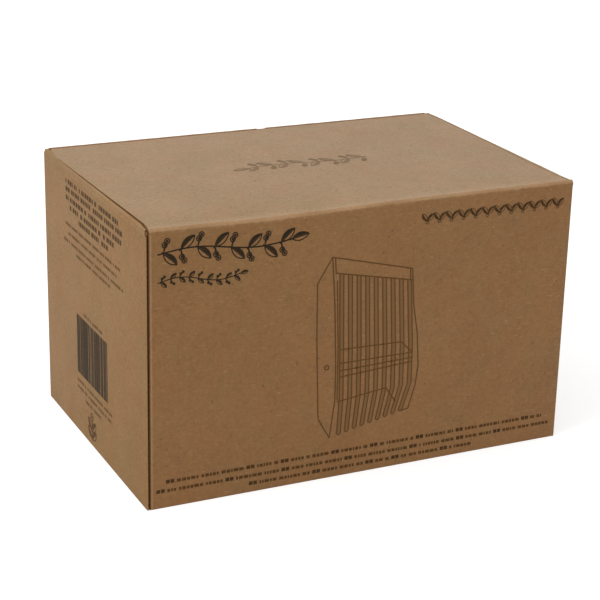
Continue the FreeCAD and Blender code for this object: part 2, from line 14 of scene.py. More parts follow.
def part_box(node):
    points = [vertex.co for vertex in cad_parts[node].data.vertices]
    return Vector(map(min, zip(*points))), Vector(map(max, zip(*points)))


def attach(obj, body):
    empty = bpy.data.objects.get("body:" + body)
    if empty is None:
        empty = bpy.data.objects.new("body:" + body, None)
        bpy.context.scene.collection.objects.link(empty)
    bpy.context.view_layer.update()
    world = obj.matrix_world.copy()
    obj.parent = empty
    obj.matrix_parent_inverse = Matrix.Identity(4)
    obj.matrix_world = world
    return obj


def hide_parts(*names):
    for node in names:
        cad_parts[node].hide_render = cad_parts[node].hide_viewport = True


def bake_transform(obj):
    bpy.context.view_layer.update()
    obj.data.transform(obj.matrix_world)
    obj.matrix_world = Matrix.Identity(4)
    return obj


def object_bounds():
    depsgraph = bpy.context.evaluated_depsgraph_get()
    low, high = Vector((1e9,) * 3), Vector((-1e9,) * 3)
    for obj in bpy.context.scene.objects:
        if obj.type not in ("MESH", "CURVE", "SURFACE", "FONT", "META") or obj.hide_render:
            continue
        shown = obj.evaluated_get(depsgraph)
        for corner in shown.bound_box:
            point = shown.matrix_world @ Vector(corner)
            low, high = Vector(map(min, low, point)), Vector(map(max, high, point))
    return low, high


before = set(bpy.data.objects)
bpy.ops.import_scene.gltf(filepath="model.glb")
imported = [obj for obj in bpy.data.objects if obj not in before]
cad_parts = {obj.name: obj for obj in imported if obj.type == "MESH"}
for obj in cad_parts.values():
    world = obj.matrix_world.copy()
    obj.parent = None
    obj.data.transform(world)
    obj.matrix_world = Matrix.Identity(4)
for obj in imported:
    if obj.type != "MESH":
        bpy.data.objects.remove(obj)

bl_info = {
    "name": "Boxed berry picking rake",
    "version": (1, 0, 0),
    "blender": (4, 5, 0),
    "location": "3D View > Sidebar > Carton",
    "description": "Corrugated carton, its prints and the wooden rake inside it",
    "category": "Object",
}

CAD_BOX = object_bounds()
MM = 0.001
UP = Vector((0, 0, 1))
LAMP_TARGET = Vector((0, 0, 0.1))


def box_mm(node):
    """A CAD node's lowest and highest corner in millimetres."""
    low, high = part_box(node)
    return Vector(low) / MM, Vector(high) / MM


HALF_LENGTH, HALF_WIDTH, HEIGHT = Vector(CAD_BOX[1]) / MM
BOARD = HEIGHT - box_mm("lid_panel")[0].z
SIDE_INNER = box_mm("side_plate_left")[0].y
ROOF_UNDER = box_mm("roof_board")[0].z


def outer_plane(name):
    """The turn about Y and the distance of a slanted board's outer face, from its CAD mesh."""
    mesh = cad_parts[name].data
    face = max((f for f in mesh.polygons if f.normal.x < -0.3), key=lambda f: f.area)
    return math.atan2(face.normal.z, face.normal.x), face.normal.dot(face.center)


END_TILT, END_DEPTH = outer_plane("end_board")


# Sizes and colours that a user may change


def number(name, description, default, **kind):
    return bpy.props.FloatProperty(name=name, description=description, default=default, **kind)


def length(name, description, default):
    return number(name, description, default, subtype="DISTANCE", unit="LENGTH", precision=5)


def angle(name, description, degrees):
    return number(name, description, math.radians(degrees), subtype="ANGLE", unit="ROTATION")


def position(name, description, default):
    return bpy.props.FloatVectorProperty(name=name, description=description, default=default, size=3,
                                         subtype="TRANSLATION", unit="LENGTH")


def colour(name, description, default):
    return bpy.props.FloatVectorProperty(name=name, description=description, default=default,
                                         subtype="COLOR", size=3, min=0, max=1)


class CartonSettings(bpy.types.PropertyGroup):
    flute_pitch: length("Flute pitch", "Distance from one flute of the board to the next", 0.0032)
    liner: length("Liner", "Thickness of each paper liner", 0.0003)
    medium: length("Fluting", "Thickness of the fluted paper", 0.00025)
    fold_radius: length("Fold radius", "Outer radius of the upright folds", 0.0014)
    crease_radius: length("Crease radius", "Outer radius of the lid's fold", 0.0019)
    tuck_radius: length("Tuck fold radius", "Outer radius of the tuck flap's fold", 0.0011)
    crease_wave: length("Crease waviness", "How far the lid's crease wanders", 0.0004)
    sag: length("Lid sag", "How far the lid has sunk beside its crease", 0.0017)
    kraft_light: colour("Kraft light", "Paler fibres of the liner", (0.272, 0.126, 0.031))
    kraft_dark: colour("Kraft dark", "Darker fibres of the liner", (0.200, 0.089, 0.019))
    # The fluting's colour is dark: painted shade of the flute hollows on the board's raw edges.
    fluting_painted_shade: colour("Fluting paper", "Raw board edge and fluted paper", (0.120, 0.050, 0.022))
    cut_edge: colour("Cut edge", "Side of the lid, cut clean by the die", (0.220, 0.112, 0.045))


class PrintSettings(bpy.types.PropertyGroup):
    ink_lift: length("Ink lift", "How far the print stands off the paper", 0.00006)
    line_width: length("Line width", "Width of the drawing's lines", 0.0008)
    ink: colour("Ink", "Dark ink of the ornament", (0.012, 0.010, 0.006))
    small_ink: colour("Small ink", "Ink of the front's sprigs and small squares", (0.034, 0.018, 0.007))
    line_ink: colour("Line ink", "Ink of the dashed rows", (0.070, 0.033, 0.010))
    bold_ink: colour("Bold ink", "Ink of the end wall's bold rows", (0.048, 0.024, 0.008))
    drawing_ink: colour("Drawing ink", "Ink of the drawing's lines", (0.108, 0.052, 0.016))
    tint_ink: colour("Tint", "Thin ink that fills the drawing's tines", (0.184, 0.090, 0.027))
    faded_ink: colour("Faded ink", "Ink of the lid's ornament", (0.200, 0.132, 0.075))
    pale_ink: colour("Pale ink", "Ink of the smallest print", (0.105, 0.054, 0.018))


class RakeSettings(bpy.types.PropertyGroup):
    edge_radius: length("Edge radius", "Sanded edge of the wooden boards", 0.0006)
    ply: length("Ply", "Thickness of one layer of the plywood", 0.001)
    birch_light: colour("Birch light", "Early wood of the boards", (0.640, 0.450, 0.255))
    birch_dark: colour("Birch dark", "Late wood of the boards", (0.470, 0.295, 0.145))
    beech_light: colour("Beech light", "Grip, pale figure", (0.480, 0.265, 0.125))
    beech_dark: colour("Beech dark", "Grip, dark flecks", (0.290, 0.140, 0.058))
    steel: colour("Steel", "Bright drawn wire", (0.560, 0.565, 0.570))
    zinc: colour("Zinc", "Zinc plating and galvanised sheet", (0.600, 0.610, 0.620))


class StudioSettings(bpy.types.PropertyGroup):
    lens: number("Lens", "Focal length of the camera", 105.36, subtype="DISTANCE_CAMERA", unit="CAMERA")
    place: position("Place", "Where the camera stands", (-0.4932, -1.0267, 0.4995))
    turn: angle("Turn", "Camera's turn round the carton", -25.64)
    tilt: angle("Tilt", "Camera's height above the horizon", 19.92)
    roll: angle("Roll", "Camera's roll", 1.38)
    key_power: number("Key lamp", "Power of the lamp above left", 22.0, subtype="POWER", unit="POWER")
    key_size: length("Key size", "Diameter of the lamp", 1.4)
    key_place: position("Key place", "Where the lamp stands", (-1.50, -0.25, 1.85))
    surroundings: number("Surroundings", "Strength of the soft light", 0.79, subtype="FACTOR", min=0, max=2)
    floor_radius: length("Floor radius", "Half the studio floor's width", 6)
    floor: colour("Floor", "Pale studio floor", (0.66, 0.66, 0.66))
    glow: number("Floor glow", "Light added to the floor where seen", 0.55, subtype="FACTOR", min=0, max=1)


GROUPS = {"carton": CartonSettings, "print": PrintSettings, "rake": RakeSettings,
          "studio": StudioSettings}


def settings(group):
    return getattr(bpy.context.scene, f"{group}_settings")


def size(group, name):
    """A length from the settings in millimetres."""
    return getattr(settings(group), name) / MM


# Node tools


class Graph:
    """A node tree with short names for the nodes that the materials use most."""

    def __init__(self, tree):
        self.tree = tree

    def put(self, value, socket):
        """Link a node's output, or write a plain value, into a socket."""
        if isinstance(value, bpy.types.NodeSocket):
            self.tree.links.new(value, socket)
        elif value is not None:
            socket.default_value = value

    def node(self, kind, inputs=None, **props):
        made = self.tree.nodes.new(f"ShaderNode{kind}")
        for key, value in props.items():
            setattr(made, key, value)
        for key, value in (inputs or {}).items():
            self.put(value, made.inputs[key])
        return made

    def group(self, name, **inputs):
        return self.node("Group", inputs, node_tree=bpy.data.node_groups[name]).outputs

    def maths(self, operation, *values, clamp=False):
        return self.node("Math", dict(enumerate(values)), operation=operation, use_clamp=clamp).outputs[0]

    def times(self, a, b, clamp=False):
        return self.maths("MULTIPLY", a, b, clamp=clamp)

    def weighed(self, *terms):
        """The sum of (value, weight) terms."""
        total = 0.0
        for value, weight in terms:
            total = self.maths("MULTIPLY_ADD", value, weight, total)
        return total

    def mix(self, factor, a, b):
        return self.node("Mix", {0: factor, 6: a, 7: b}, data_type="RGBA").outputs[2]

    def noise(self, vector, scale, detail=2.0, roughness=0.5, distortion=0.0):
        return self.node("TexNoise", {"Vector": vector, "Scale": scale, "Detail": detail,
                                      "Roughness": roughness, "Distortion": distortion}).outputs["Fac"]

    def mapped(self, vector, scale=(1, 1, 1), rotation=(0, 0, 0), location=(0, 0, 0)):
        return self.node("Mapping", {"Vector": vector, "Scale": scale, "Rotation": rotation,
                                     "Location": location}).outputs[0]

    def streaks(self, vector, scale, detail=3, roughness=0.6, distortion=0.0):
        """Noise drawn out along one axis by its three scales."""
        return self.noise(self.mapped(vector, scale), 1.0, detail, roughness, distortion)

    def band(self, value, low, high):
        """0 below low, 1 above high, smooth between."""
        return self.node("MapRange", {"Value": value, "From Min": low, "From Max": high},
                         interpolation_type="SMOOTHSTEP").outputs[0]

    def across(self, vector, axis):
        return self.node("SeparateXYZ", {"Vector": vector}).outputs[axis]

    def object_vector(self):
        return self.node("TexCoord").outputs["Object"]

    def rub_and_highlight(self):
        """How far a point of the mesh has been rubbed or worn; on the carton's folds this also paints a
        highlight.
        """
        return self.node("Attribute", attribute_name="rub_and_highlight", attribute_type="GEOMETRY").outputs["Fac"]

    def bump(self, shader, height, depth, strength=0.7):
        """Lead a height to a shader's normal. depth is in metres."""
        made = self.node("Bump", {"Height": height, "Distance": depth, "Strength": strength})
        self.tree.links.new(made.outputs[0], shader.inputs["Normal"])


def new_group(name, inputs, outputs=("Color", "Roughness", "Height")):
    """An empty shader group. An input's default tells its kind: a colour, a number, or None for a
    vector."""
    group = bpy.data.node_groups.new(name, "ShaderNodeTree")
    for label, default in inputs.items():
        kind = "Vector" if default is None else "Color" if isinstance(default, tuple) else "Float"
        socket = group.interface.new_socket(label, in_out="INPUT", socket_type=f"NodeSocket{kind}")
        if default is not None:
            socket.default_value = rgba(default) if kind == "Color" else default
    for label in outputs:
        kind = "Color" if label == "Color" else "Float"
        group.interface.new_socket(label, in_out="OUTPUT", socket_type=f"NodeSocket{kind}")
    start, end = group.nodes.new("NodeGroupInput"), group.nodes.new("NodeGroupOutput")
    return Graph(group), start.outputs, end.inputs


def rgba(values):
    return (*values, 1.0)


def finish_group(graph, end, **values):
    for label, value in values.items():
        graph.put(value, end[label])


# Shader groups. An input's value here only shows its kind, because each material sets its own.


def kraft_group():
    """Kraft liner: clouds, short fibres lying across the flutes, flecks, and paper rubbed pale, which on
    the folds is also a painted highlight.
    """
    g, start, end = new_group("Kraft paper", {
        "Vector": None, "Light": (0.5, 0.4, 0.3), "Dark": (0.3, 0.2, 0.1), "Pitch": 0.0032,
        "Washboard": 0.1, "Rub": 0.0})
    vector, light, dark = start["Vector"], start["Light"], start["Dark"]
    cloud = g.noise(vector, 24, 3, 0.55)
    blotch = g.noise(g.mapped(vector, location=(3, 1, 2)), 95, 3, 0.6)
    grain = g.noise(vector, 480, 4, 0.65)
    fibre = g.streaks(vector, (300, 1500, 1500), distortion=0.7)
    across = g.streaks(vector, (1500, 380, 380), distortion=0.7)
    turn = g.maths("DIVIDE", g.across(vector, "X"), start["Pitch"])
    wave = g.times(g.maths("SINE", g.times(turn, 2 * math.pi)), start["Washboard"])
    tone = g.weighed((g.band(cloud, 0.34, 0.66), 0.20), (g.band(blotch, 0.3, 0.7), 0.18),
                     (g.band(grain, 0.30, 0.70), 0.50), (g.band(fibre, 0.36, 0.64), 0.40),
                     (g.band(across, 0.36, 0.64), 0.30), (wave, 0.5), (1.0, -0.28))
    paper = g.mix(tone, dark, light)
    warm = g.mix(0.06, paper, rgba((0.42, 0.12, 0.03)))
    cool = g.mix(0.05, paper, rgba((0.20, 0.19, 0.07)))
    tint = g.noise(g.mapped(vector, location=(7, 5, 3)), 38, 2, 0.5)
    paper = g.mix(g.band(tint, 0.35, 0.65), cool, warm)
    pale = g.band(fibre, 0.64, 0.74)
    speck = g.band(g.noise(vector, 520, 2, 0.5), 0.68, 0.74)
    pale_fleck_and_highlight = g.mix(0.42, light, rgba((0.60, 0.42, 0.25)))
    paper = g.mix(g.times(pale, 0.75), paper, pale_fleck_and_highlight)
    paper = g.mix(g.times(speck, 0.8), paper, rgba((0.10, 0.045, 0.015)))
    # Where the mesh is marked, the paper turns paler: wear, and on the carton's folds a painted highlight.
    worn = g.times(start["Rub"], g.weighed((grain, 0.8), (1.0, 0.35)), clamp=True)
    finish_group(g, end, Color=g.mix(worn, paper, pale_fleck_and_highlight), Roughness=g.weighed((tone, -0.08), (1.0, 0.56)),
                 Height=g.weighed((grain, 0.4), (fibre, 0.4), (blotch, 0.5), (wave, 1.6)))


def ink_group():
    """Flexographic ink on kraft: thin where the paper is rough, with pinholes that let it show."""
    g, start, end = new_group("Printed ink", {
        "Vector": None, "Ink": (0.02, 0.02, 0.02), "Paper": (0.24, 0.11, 0.04), "Thin": 0.2})
    vector = start["Vector"]
    grain = g.noise(vector, 800, 3, 0.6)
    cloud = g.noise(vector, 60, 2, 0.5)
    thin = g.times(g.weighed((g.band(grain, 0.40, 0.75), 0.7), (cloud, 0.5)), start["Thin"], clamp=True)
    pinhole = g.times(g.band(g.noise(vector, 1600, 2, 0.5), 0.66, 0.74), 0.5)
    finish_group(g, end, Color=g.mix(g.maths("MAXIMUM", thin, pinhole), start["Ink"], start["Paper"]),
                 Roughness=g.weighed((grain, 0.2), (1.0, 0.6)), Height=grain)


def wood_group():
    """Wood with its grain along X: rings drawn out into figure, fine pores, and worn edges."""
    g, start, end = new_group("Wood grain", {
        "Vector": None, "Light": (0.6, 0.4, 0.2), "Dark": (0.4, 0.3, 0.1), "Figure": 60.0,
        "Pores": 0.3, "Wear": 0.0})
    vector, light, dark = start["Vector"], start["Light"], start["Dark"]
    drift = g.streaks(vector, (2.2, 16, 16), 2, 0.5)
    swirl = g.streaks(vector, (5, 60, 60), distortion=0.4)
    rings = g.maths("SINE", g.times(g.weighed((drift, 1.0), (swirl, 0.16)), start["Figure"]))
    pores = g.band(g.streaks(vector, (90, 2600, 2600), 2), 0.60, 0.72)
    fleck = g.streaks(vector, (160, 900, 900))
    tone = g.weighed((rings, 0.22), (fleck, 0.35), (swirl, 0.35), (1.0, 0.12))
    paint = g.mix(g.maths("ADD", tone, 0.0, clamp=True), dark, light)
    pore_tone = g.mix(0.55, dark, rgba((0.10, 0.05, 0.02)))
    paint = g.mix(g.times(pores, start["Pores"]), paint, pore_tone)
    paint = g.mix(g.times(start["Wear"], 0.35), paint, g.mix(0.5, light, rgba((0.9, 0.8, 0.6))))
    finish_group(g, end, Color=paint, Roughness=g.weighed((fleck, 0.16), (pores, 0.15), (1.0, 0.40)),
                 Height=g.weighed((pores, -0.8), (fleck, 0.3), (rings, 0.06)))


def ply_group():
    """Plywood: every second layer shows dark end grain where an edge cuts through it."""
    g, start, end = new_group("Plywood layers", {
        "Color": (0.6, 0.4, 0.2), "Vector": None, "Depth": 0.0, "Ply": 0.001,
        "Dark": (0.4, 0.3, 0.1)}, ("Color", "Height"))
    turn = g.maths("SINE", g.times(g.maths("DIVIDE", start["Depth"], start["Ply"]), -math.pi))
    cross = g.band(turn, 0.10, 0.45)
    glue = g.band(g.maths("ABSOLUTE", turn), 0.30, 0.08)
    inside = g.band(turn, -0.02, 0.02)
    pits = g.noise(start["Vector"], 1500, 3, 0.7)
    shade = g.mix(pits, g.mix(0.5, start["Dark"], rgba((0.12, 0.06, 0.03))), start["Dark"])
    paint = g.mix(g.times(cross, 0.75), start["Color"], shade)
    paint = g.mix(g.times(g.times(glue, inside), 0.5), paint, rgba((0.10, 0.05, 0.03)))
    finish_group(g, end, Color=paint, Height=g.times(cross, pits))


def metal_group():
    """Bare or plated steel: lines of drawing along X, dull clouds, faint stains."""
    g, start, end = new_group("Metal finish", {
        "Vector": None, "Metal": (0.6, 0.6, 0.6), "Lines": 0.5, "Clouds": 0.3, "Gloss": 0.3})
    vector, metal = start["Vector"], start["Metal"]
    lines = g.streaks(vector, (40, 3500, 3500))
    cloud = g.noise(vector, 180, 4, 0.6, 0.5)
    spangle = g.node("TexVoronoi", {"Vector": vector, "Scale": 160.0}).outputs["Distance"]
    stain = g.band(g.noise(vector, 45, 3, 0.55), 0.52, 0.75)
    shade = g.weighed((g.times(lines, start["Lines"]), 0.5), (g.times(cloud, start["Clouds"]), 0.8),
                      (g.times(spangle, start["Clouds"]), 0.3))
    paint = g.mix(shade, metal, g.mix(0.4, metal, rgba((0.30, 0.29, 0.27))))
    paint = g.mix(g.times(stain, 0.18), paint, rgba((0.34, 0.28, 0.20)))
    rough = g.weighed((shade, 0.25), (stain, 0.08), (start["Gloss"], 1.0))
    finish_group(g, end, Color=paint, Roughness=rough, Height=g.weighed((lines, 0.5), (cloud, 0.5)))


# Materials


def emptied(owner):
    """The emptied node tree of a material or world."""
    owner.use_nodes = True
    owner.node_tree.nodes.clear()
    return Graph(owner.node_tree)


def new_material(name, **values):
    """A material with one shader, and plain values for its sockets."""
    g = emptied(bpy.data.materials.new(name))
    out, shader = g.node("OutputMaterial"), g.node("BsdfPrincipled")
    g.put(shader.outputs[0], out.inputs["Surface"])
    for key, value in values.items():
        shader.inputs[key.replace("_", " ")].default_value = value
    return g, shader


def wire_surface(g, shader, surface, depth, paint=None, height=None):
    """Lead a group's colour, roughness and height to a shader. depth is the bump's, in metres."""
    g.put(paint or surface["Color"], shader.inputs["Base Color"])
    g.put(surface["Roughness"], shader.inputs["Roughness"])
    g.bump(shader, height or surface["Height"], depth)


def kraft_material(name, rotation=(0, 0, 0), gloss=0.5, sheen=0.1, painted_sheen=(1, 1, 1)):
    """The liner. rotation turns the pattern so that its X runs across the flutes. Gloss and sheen differ
    with the way the paper's fibres run and with how far a face has been rubbed smooth. The last argument
    scales a face's colour paler and greyer: painted sheen, the whitish glancing reflection of the
    surroundings, put into the colour of the lid and of the end walls."""
    carton = settings("carton")
    light, dark = (rgba([c * share for c, share in zip(tone, painted_sheen)])
                   for tone in (carton.kraft_light, carton.kraft_dark))
    g, shader = new_material(name, IOR=1.5, Specular_IOR_Level=gloss, Sheen_Weight=sheen,
                             Sheen_Roughness=0.35)
    paper = g.group("Kraft paper", Vector=g.mapped(g.object_vector(), rotation=rotation), Light=light,
                    Dark=dark, Pitch=carton.flute_pitch, Washboard=0.03, Rub=g.rub_and_highlight())
    wire_surface(g, shader, paper, 0.00008)


def fluting_material(name, tone):
    """Fluted paper and cut board edges. The fluting's dark colour on the raw edges is painted shade of the
    flute hollows.
    """
    g, shader = new_material(name, Roughness=0.9, Specular_IOR_Level=0.1)
    grain = g.noise(g.object_vector(), 900, 3, 0.6)
    dark, light = (rgba([c * share for c in tone]) for share in (0.6, 1.5))
    g.put(g.mix(grain, dark, light), shader.inputs["Base Color"])
    g.bump(shader, grain, 0.0001, 0.5)


def ink_material(name, ink, thin, gloss=0.12):
    carton = settings("carton")
    g, shader = new_material(name, IOR=1.5, Specular_IOR_Level=gloss)
    paper = rgba([(a + b) / 2 for a, b in zip(carton.kraft_light, carton.kraft_dark)])
    wire_surface(g, shader, g.group("Printed ink", Vector=g.object_vector(), Ink=rgba(ink), Paper=paper,
                                    Thin=thin), 0.00004)


def wood_material(name, light, dark, figure, pores, rotation=(0, 0, 0), depth_axis=None, depth_start=0.0,
                  tilt=0.0):
    """Wood with its grain along the turned X. A depth axis makes it plywood, layered along that axis
    from depth_start in metres, after a tilt about Y."""
    g, shader = new_material(name, IOR=1.5, Coat_Weight=0.12, Coat_Roughness=0.35)
    place = g.object_vector()
    surface = g.group("Wood grain", Vector=g.mapped(place, rotation=rotation), Light=rgba(light),
                      Dark=rgba(dark), Figure=figure, Pores=pores, Wear=g.rub_and_highlight())
    paint, height = surface["Color"], surface["Height"]
    if depth_axis:
        along = g.across(g.mapped(place, rotation=(0, tilt, 0)), depth_axis)
        depth = g.maths("SUBTRACT", g.maths("ABSOLUTE", along), depth_start)
        layers = g.group("Plywood layers", Color=paint, Vector=place, Depth=depth,
                         Ply=settings("rake").ply, Dark=rgba(dark))
        paint = layers["Color"]
        height = g.maths("ADD", height, g.times(layers["Height"], -1.0))
    wire_surface(g, shader, surface, 0.00010, paint, height)


def metal_material(name, metal, lines, clouds, gloss, rotation=(0, 0, 0)):
    g, shader = new_material(name, Metallic=1.0)
    surface = g.group("Metal finish", Vector=g.mapped(g.object_vector(), rotation=rotation),
                      Metal=rgba(metal), Lines=lines, Clouds=clouds, Gloss=gloss)
    wire_surface(g, shader, surface, 0.00002)


QUARTER = math.radians(90)


def make_materials():
    for make in (kraft_group, ink_group, wood_group, ply_group, metal_group):
        make()
    carton, rake, prints = settings("carton"), settings("rake"), settings("print")
    kraft_material("kraft_liner", gloss=0.45, sheen=0.08)
    # The end walls' and the lid's liners are paler and greyer: painted sheen, the glancing reflection of
    # the surroundings.
    kraft_material("kraft_liner_end_painted_sheen", (0, QUARTER, 0), gloss=0.05, sheen=0, painted_sheen=(1.18, 1.48, 2.75))
    kraft_material("kraft_liner_lid_painted_sheen", gloss=0.2, sheen=0.07, painted_sheen=(1.25, 1.68, 3.4))
    fluting_material("fluting_paper_painted_shade", carton.fluting_painted_shade)
    fluting_material("cut_board_edge", carton.cut_edge)
    for name, ink, *finish in (
            ("dark", prints.ink, 0.15), ("faded", prints.faded_ink, 0.3, 0.2),
            ("small", prints.small_ink, 0.35), ("line", prints.line_ink, 0.35),
            ("bold", prints.bold_ink, 0.3), ("pale", prints.pale_ink, 0.35),
            ("drawing", prints.drawing_ink, 0.25), ("tint", prints.tint_ink, 0.25, 0.4)):
        ink_material(f"ink_{name}", ink, *finish)
    birch = (rake.birch_light, rake.birch_dark, 46, 0.25)
    slanted = {"rotation": (0, 0, QUARTER), "tilt": END_TILT}
    for part, axis, start, turns in (("side", "Y", SIDE_INNER * MM, {}), ("roof", "Z", ROOF_UNDER * MM, {}),
                                     ("end", "X", END_DEPTH, slanted)):
        wood_material(f"plywood_{part}", *birch, depth_axis=axis, depth_start=start, **turns)
    wood_material("birch_solid", *birch, rotation=(0, 0, QUARTER))
    wood_material("beech_grip", rake.beech_light, rake.beech_dark, 30, 0.6)
    metal_material("drawn_wire", rake.steel, 0.6, 0.2, 0.22)
    metal_material("galvanised_sheet", rake.zinc, 0.1, 0.9, 0.32, (0, 0, QUARTER))
    metal_material("zinc_strap", rake.zinc, 0.5, 0.4, 0.26)
    metal_material("zinc_fastener", rake.zinc, 0.2, 0.3, 0.24)


# Mesh tools


FLUTE_STEPS = 6
RAW_EDGE = 1


def everything(bm):
    return bm.verts[:] + bm.edges[:] + bm.faces[:]


def path_sheet(bm, points, run):
    """A sheet without thickness: an open path of a few points, extruded along run.
    Its faces look towards run x path. Returns the edges drawn by the inner points, in order."""
    verts = [bm.verts.new(p) for p in points]
    edges = [bm.edges.new(pair) for pair in zip(verts, verts[1:])]
    drawn = bmesh.ops.extrude_edge_only(bm, edges=edges)["geom"]
    moved = {v for v in drawn if isinstance(v, bmesh.types.BMVert)}
    bmesh.ops.translate(bm, verts=list(moved), vec=run)
    return [next(e for e in vert.link_edges if e.other_vert(vert) in moved) for vert in verts[1:-1]]


def round_edges(bm, edges, radius, segments=5, clamp=True):
    """Round edges with one radius. Returns what the bevel made."""
    return bmesh.ops.bevel(bm, geom=edges, offset=radius, offset_type="OFFSET", segments=segments,
                           profile=0.5, affect="EDGES", material=-1, clamp_overlap=clamp)


def trim(bm, at, away):
    """Cut off what lies beyond a plane, on the side that away points to."""
    bmesh.ops.bisect_plane(bm, geom=everything(bm), plane_co=at, plane_no=away, clear_outer=True)


def slices(bm, axis, places):
    """Cut a mesh into strips by planes across an axis."""
    direction = Vector([i == axis for i in range(3)])
    for place in places:
        bmesh.ops.bisect_plane(bm, geom=everything(bm), plane_co=direction * place, plane_no=direction)


def punch(bm, axis_pair, low, high):
    """Leave out the part of a sheet between low and high, along two axes."""
    for axis, start, end in zip(axis_pair, low, high):
        slices(bm, axis, (start, end))
    inside = [f for f in bm.faces if all(start < f.calc_center_median()[axis] < end
                                         for axis, start, end in zip(axis_pair, low, high))]
    bmesh.ops.delete(bm, geom=inside, context="FACES")


def mirrored(bm, axis):
    """Turn a mesh into its mirror image across an axis, with its faces still looking outwards."""
    bmesh.ops.scale(bm, vec=[-1 if i == axis else 1 for i in range(3)], verts=bm.verts[:])
    bmesh.ops.reverse_faces(bm, faces=bm.faces[:])
    return bm


def between(low, high, step):
    """Places about step apart, evenly spread inside low and high."""
    count = max(1, round((high - low) / step))
    return [low + (high - low) * i / count for i in range(1, count)]


def thicken(bm, thickness):
    """Give a sheet its thickness on its faces' back. What is new gets the raw edge's material."""
    kept = set(bm.faces)
    bmesh.ops.solidify(bm, geom=bm.faces[:], thickness=thickness)
    for face in bm.faces:
        if face not in kept:
            face.material_index = RAW_EDGE


def mesh_of(bm, name):
    """A mesh with a bmesh's shape. The bmesh is freed."""
    mesh = bpy.data.meshes.new(name)
    bm.to_mesh(mesh)
    bm.free()
    return mesh


def absorb(bm, *others):
    """Take other meshes into bm as loose islands."""
    for other in others:
        mesh = mesh_of(other, "part")
        bm.from_mesh(mesh)
        bpy.data.meshes.remove(mesh)
    return bm


def block(bm, low, high, z=0.0, parts=(1, 1)):
    """A filled rectangle in X and Y, divided into parts."""
    middle = [(a + b) / 2 for a, b in zip(low, high)]
    spans = [b - a for a, b in zip(low, high)]
    bmesh.ops.create_grid(bm, x_segments=parts[0], y_segments=parts[1], size=0.5,
                          matrix=Matrix.Translation((*middle, z)) @ Matrix.Diagonal((*spans, 1, 1)))


def axes(x, y, origin=(0, 0, 0)):
    """The matrix that takes local X and Y to these directions, and local Z to their cross product."""
    x, y = Vector(x), Vector(y)
    return Matrix.Translation(origin) @ Matrix((x, y, x.cross(y))).transposed().to_4x4()


def ripple(point, step, seed=0.0):
    """A smooth number from -1 to 1 that wanders over space in steps of about step."""
    return noise_at.noise(Vector(point) / step + Vector((seed, 2 * seed, 3 * seed)))


def ripple_x(x, step, seed=0.0):
    """The same along X alone."""
    return ripple((x, 0, 0), step, seed)


def paint(obj, name, value_at):
    """Write a number for each point of a mesh, worked out from the point in millimetres."""
    attribute = obj.data.attributes.new(name, "FLOAT", "POINT")
    for point, vert in zip(attribute.data, obj.data.vertices):
        point.value = value_at(vert.co / MM)


def near(value, target, reach):
    """1 at target, falling to 0 at reach away from it."""
    return max(0.0, 1 - abs(value - target) / reach)


def clipped(value):
    """The value, held between 0 and 1."""
    return min(1.0, max(0.0, value))


def show(name, mesh, materials, body, sharp):
    """A shown object of a mesh in metres, with its materials and its body."""
    obj = bpy.data.objects.new(name, mesh)
    bpy.context.scene.collection.objects.link(obj)
    for material in materials:
        mesh.materials.append(bpy.data.materials[material])
    mesh.shade_smooth()
    mesh.set_sharp_from_angle(angle=math.radians(sharp))
    if body:
        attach(obj, body)
    return obj


def finish_piece(name, bm, materials, body=None, replaces=(), sharp=40, rub_and_highlight=None):
    """Turn a bmesh in millimetres into a shown piece that rides on a body."""
    bmesh.ops.scale(bm, vec=(MM, MM, MM), verts=bm.verts[:])
    obj = show(name, mesh_of(bm, name), materials, body, sharp)
    if rub_and_highlight:
        paint(obj, "rub_and_highlight", rub_and_highlight)
    if replaces:
        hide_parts(*replaces)
    return obj


# Corrugated board


def board_sizes():
    """Flute pitch, liner thickness and fluted paper's thickness in millimetres."""
    return size("carton", "flute_pitch"), size("carton", "liner"), size("carton", "medium")


def flat_sheet(low, high, z, step=None):
    """A rectangle of paper that looks up, in squares of about step."""
    bm = bmesh.new()
    block(bm, low, high, z, [max(1, round((b - a) / step)) if step else 1 for a, b in zip(low, high)])
    return bm


def fluted_sheet(low, high):
    """The board's middle paper, rising and falling across local X. Its flutes run along local Y."""
    pitch, liner, medium = board_sizes()
    steps = max(1, round((high[0] - low[0]) / pitch * FLUTE_STEPS))
    bm = bmesh.new()
    block(bm, low, high, parts=(steps, 1))
    swing = (BOARD - 2 * liner - medium) / 2
    for vert in bm.verts:
        vert.co.z = (medium - BOARD) / 2 + swing * math.sin(2 * math.pi * vert.co.x / pitch)
    return bm


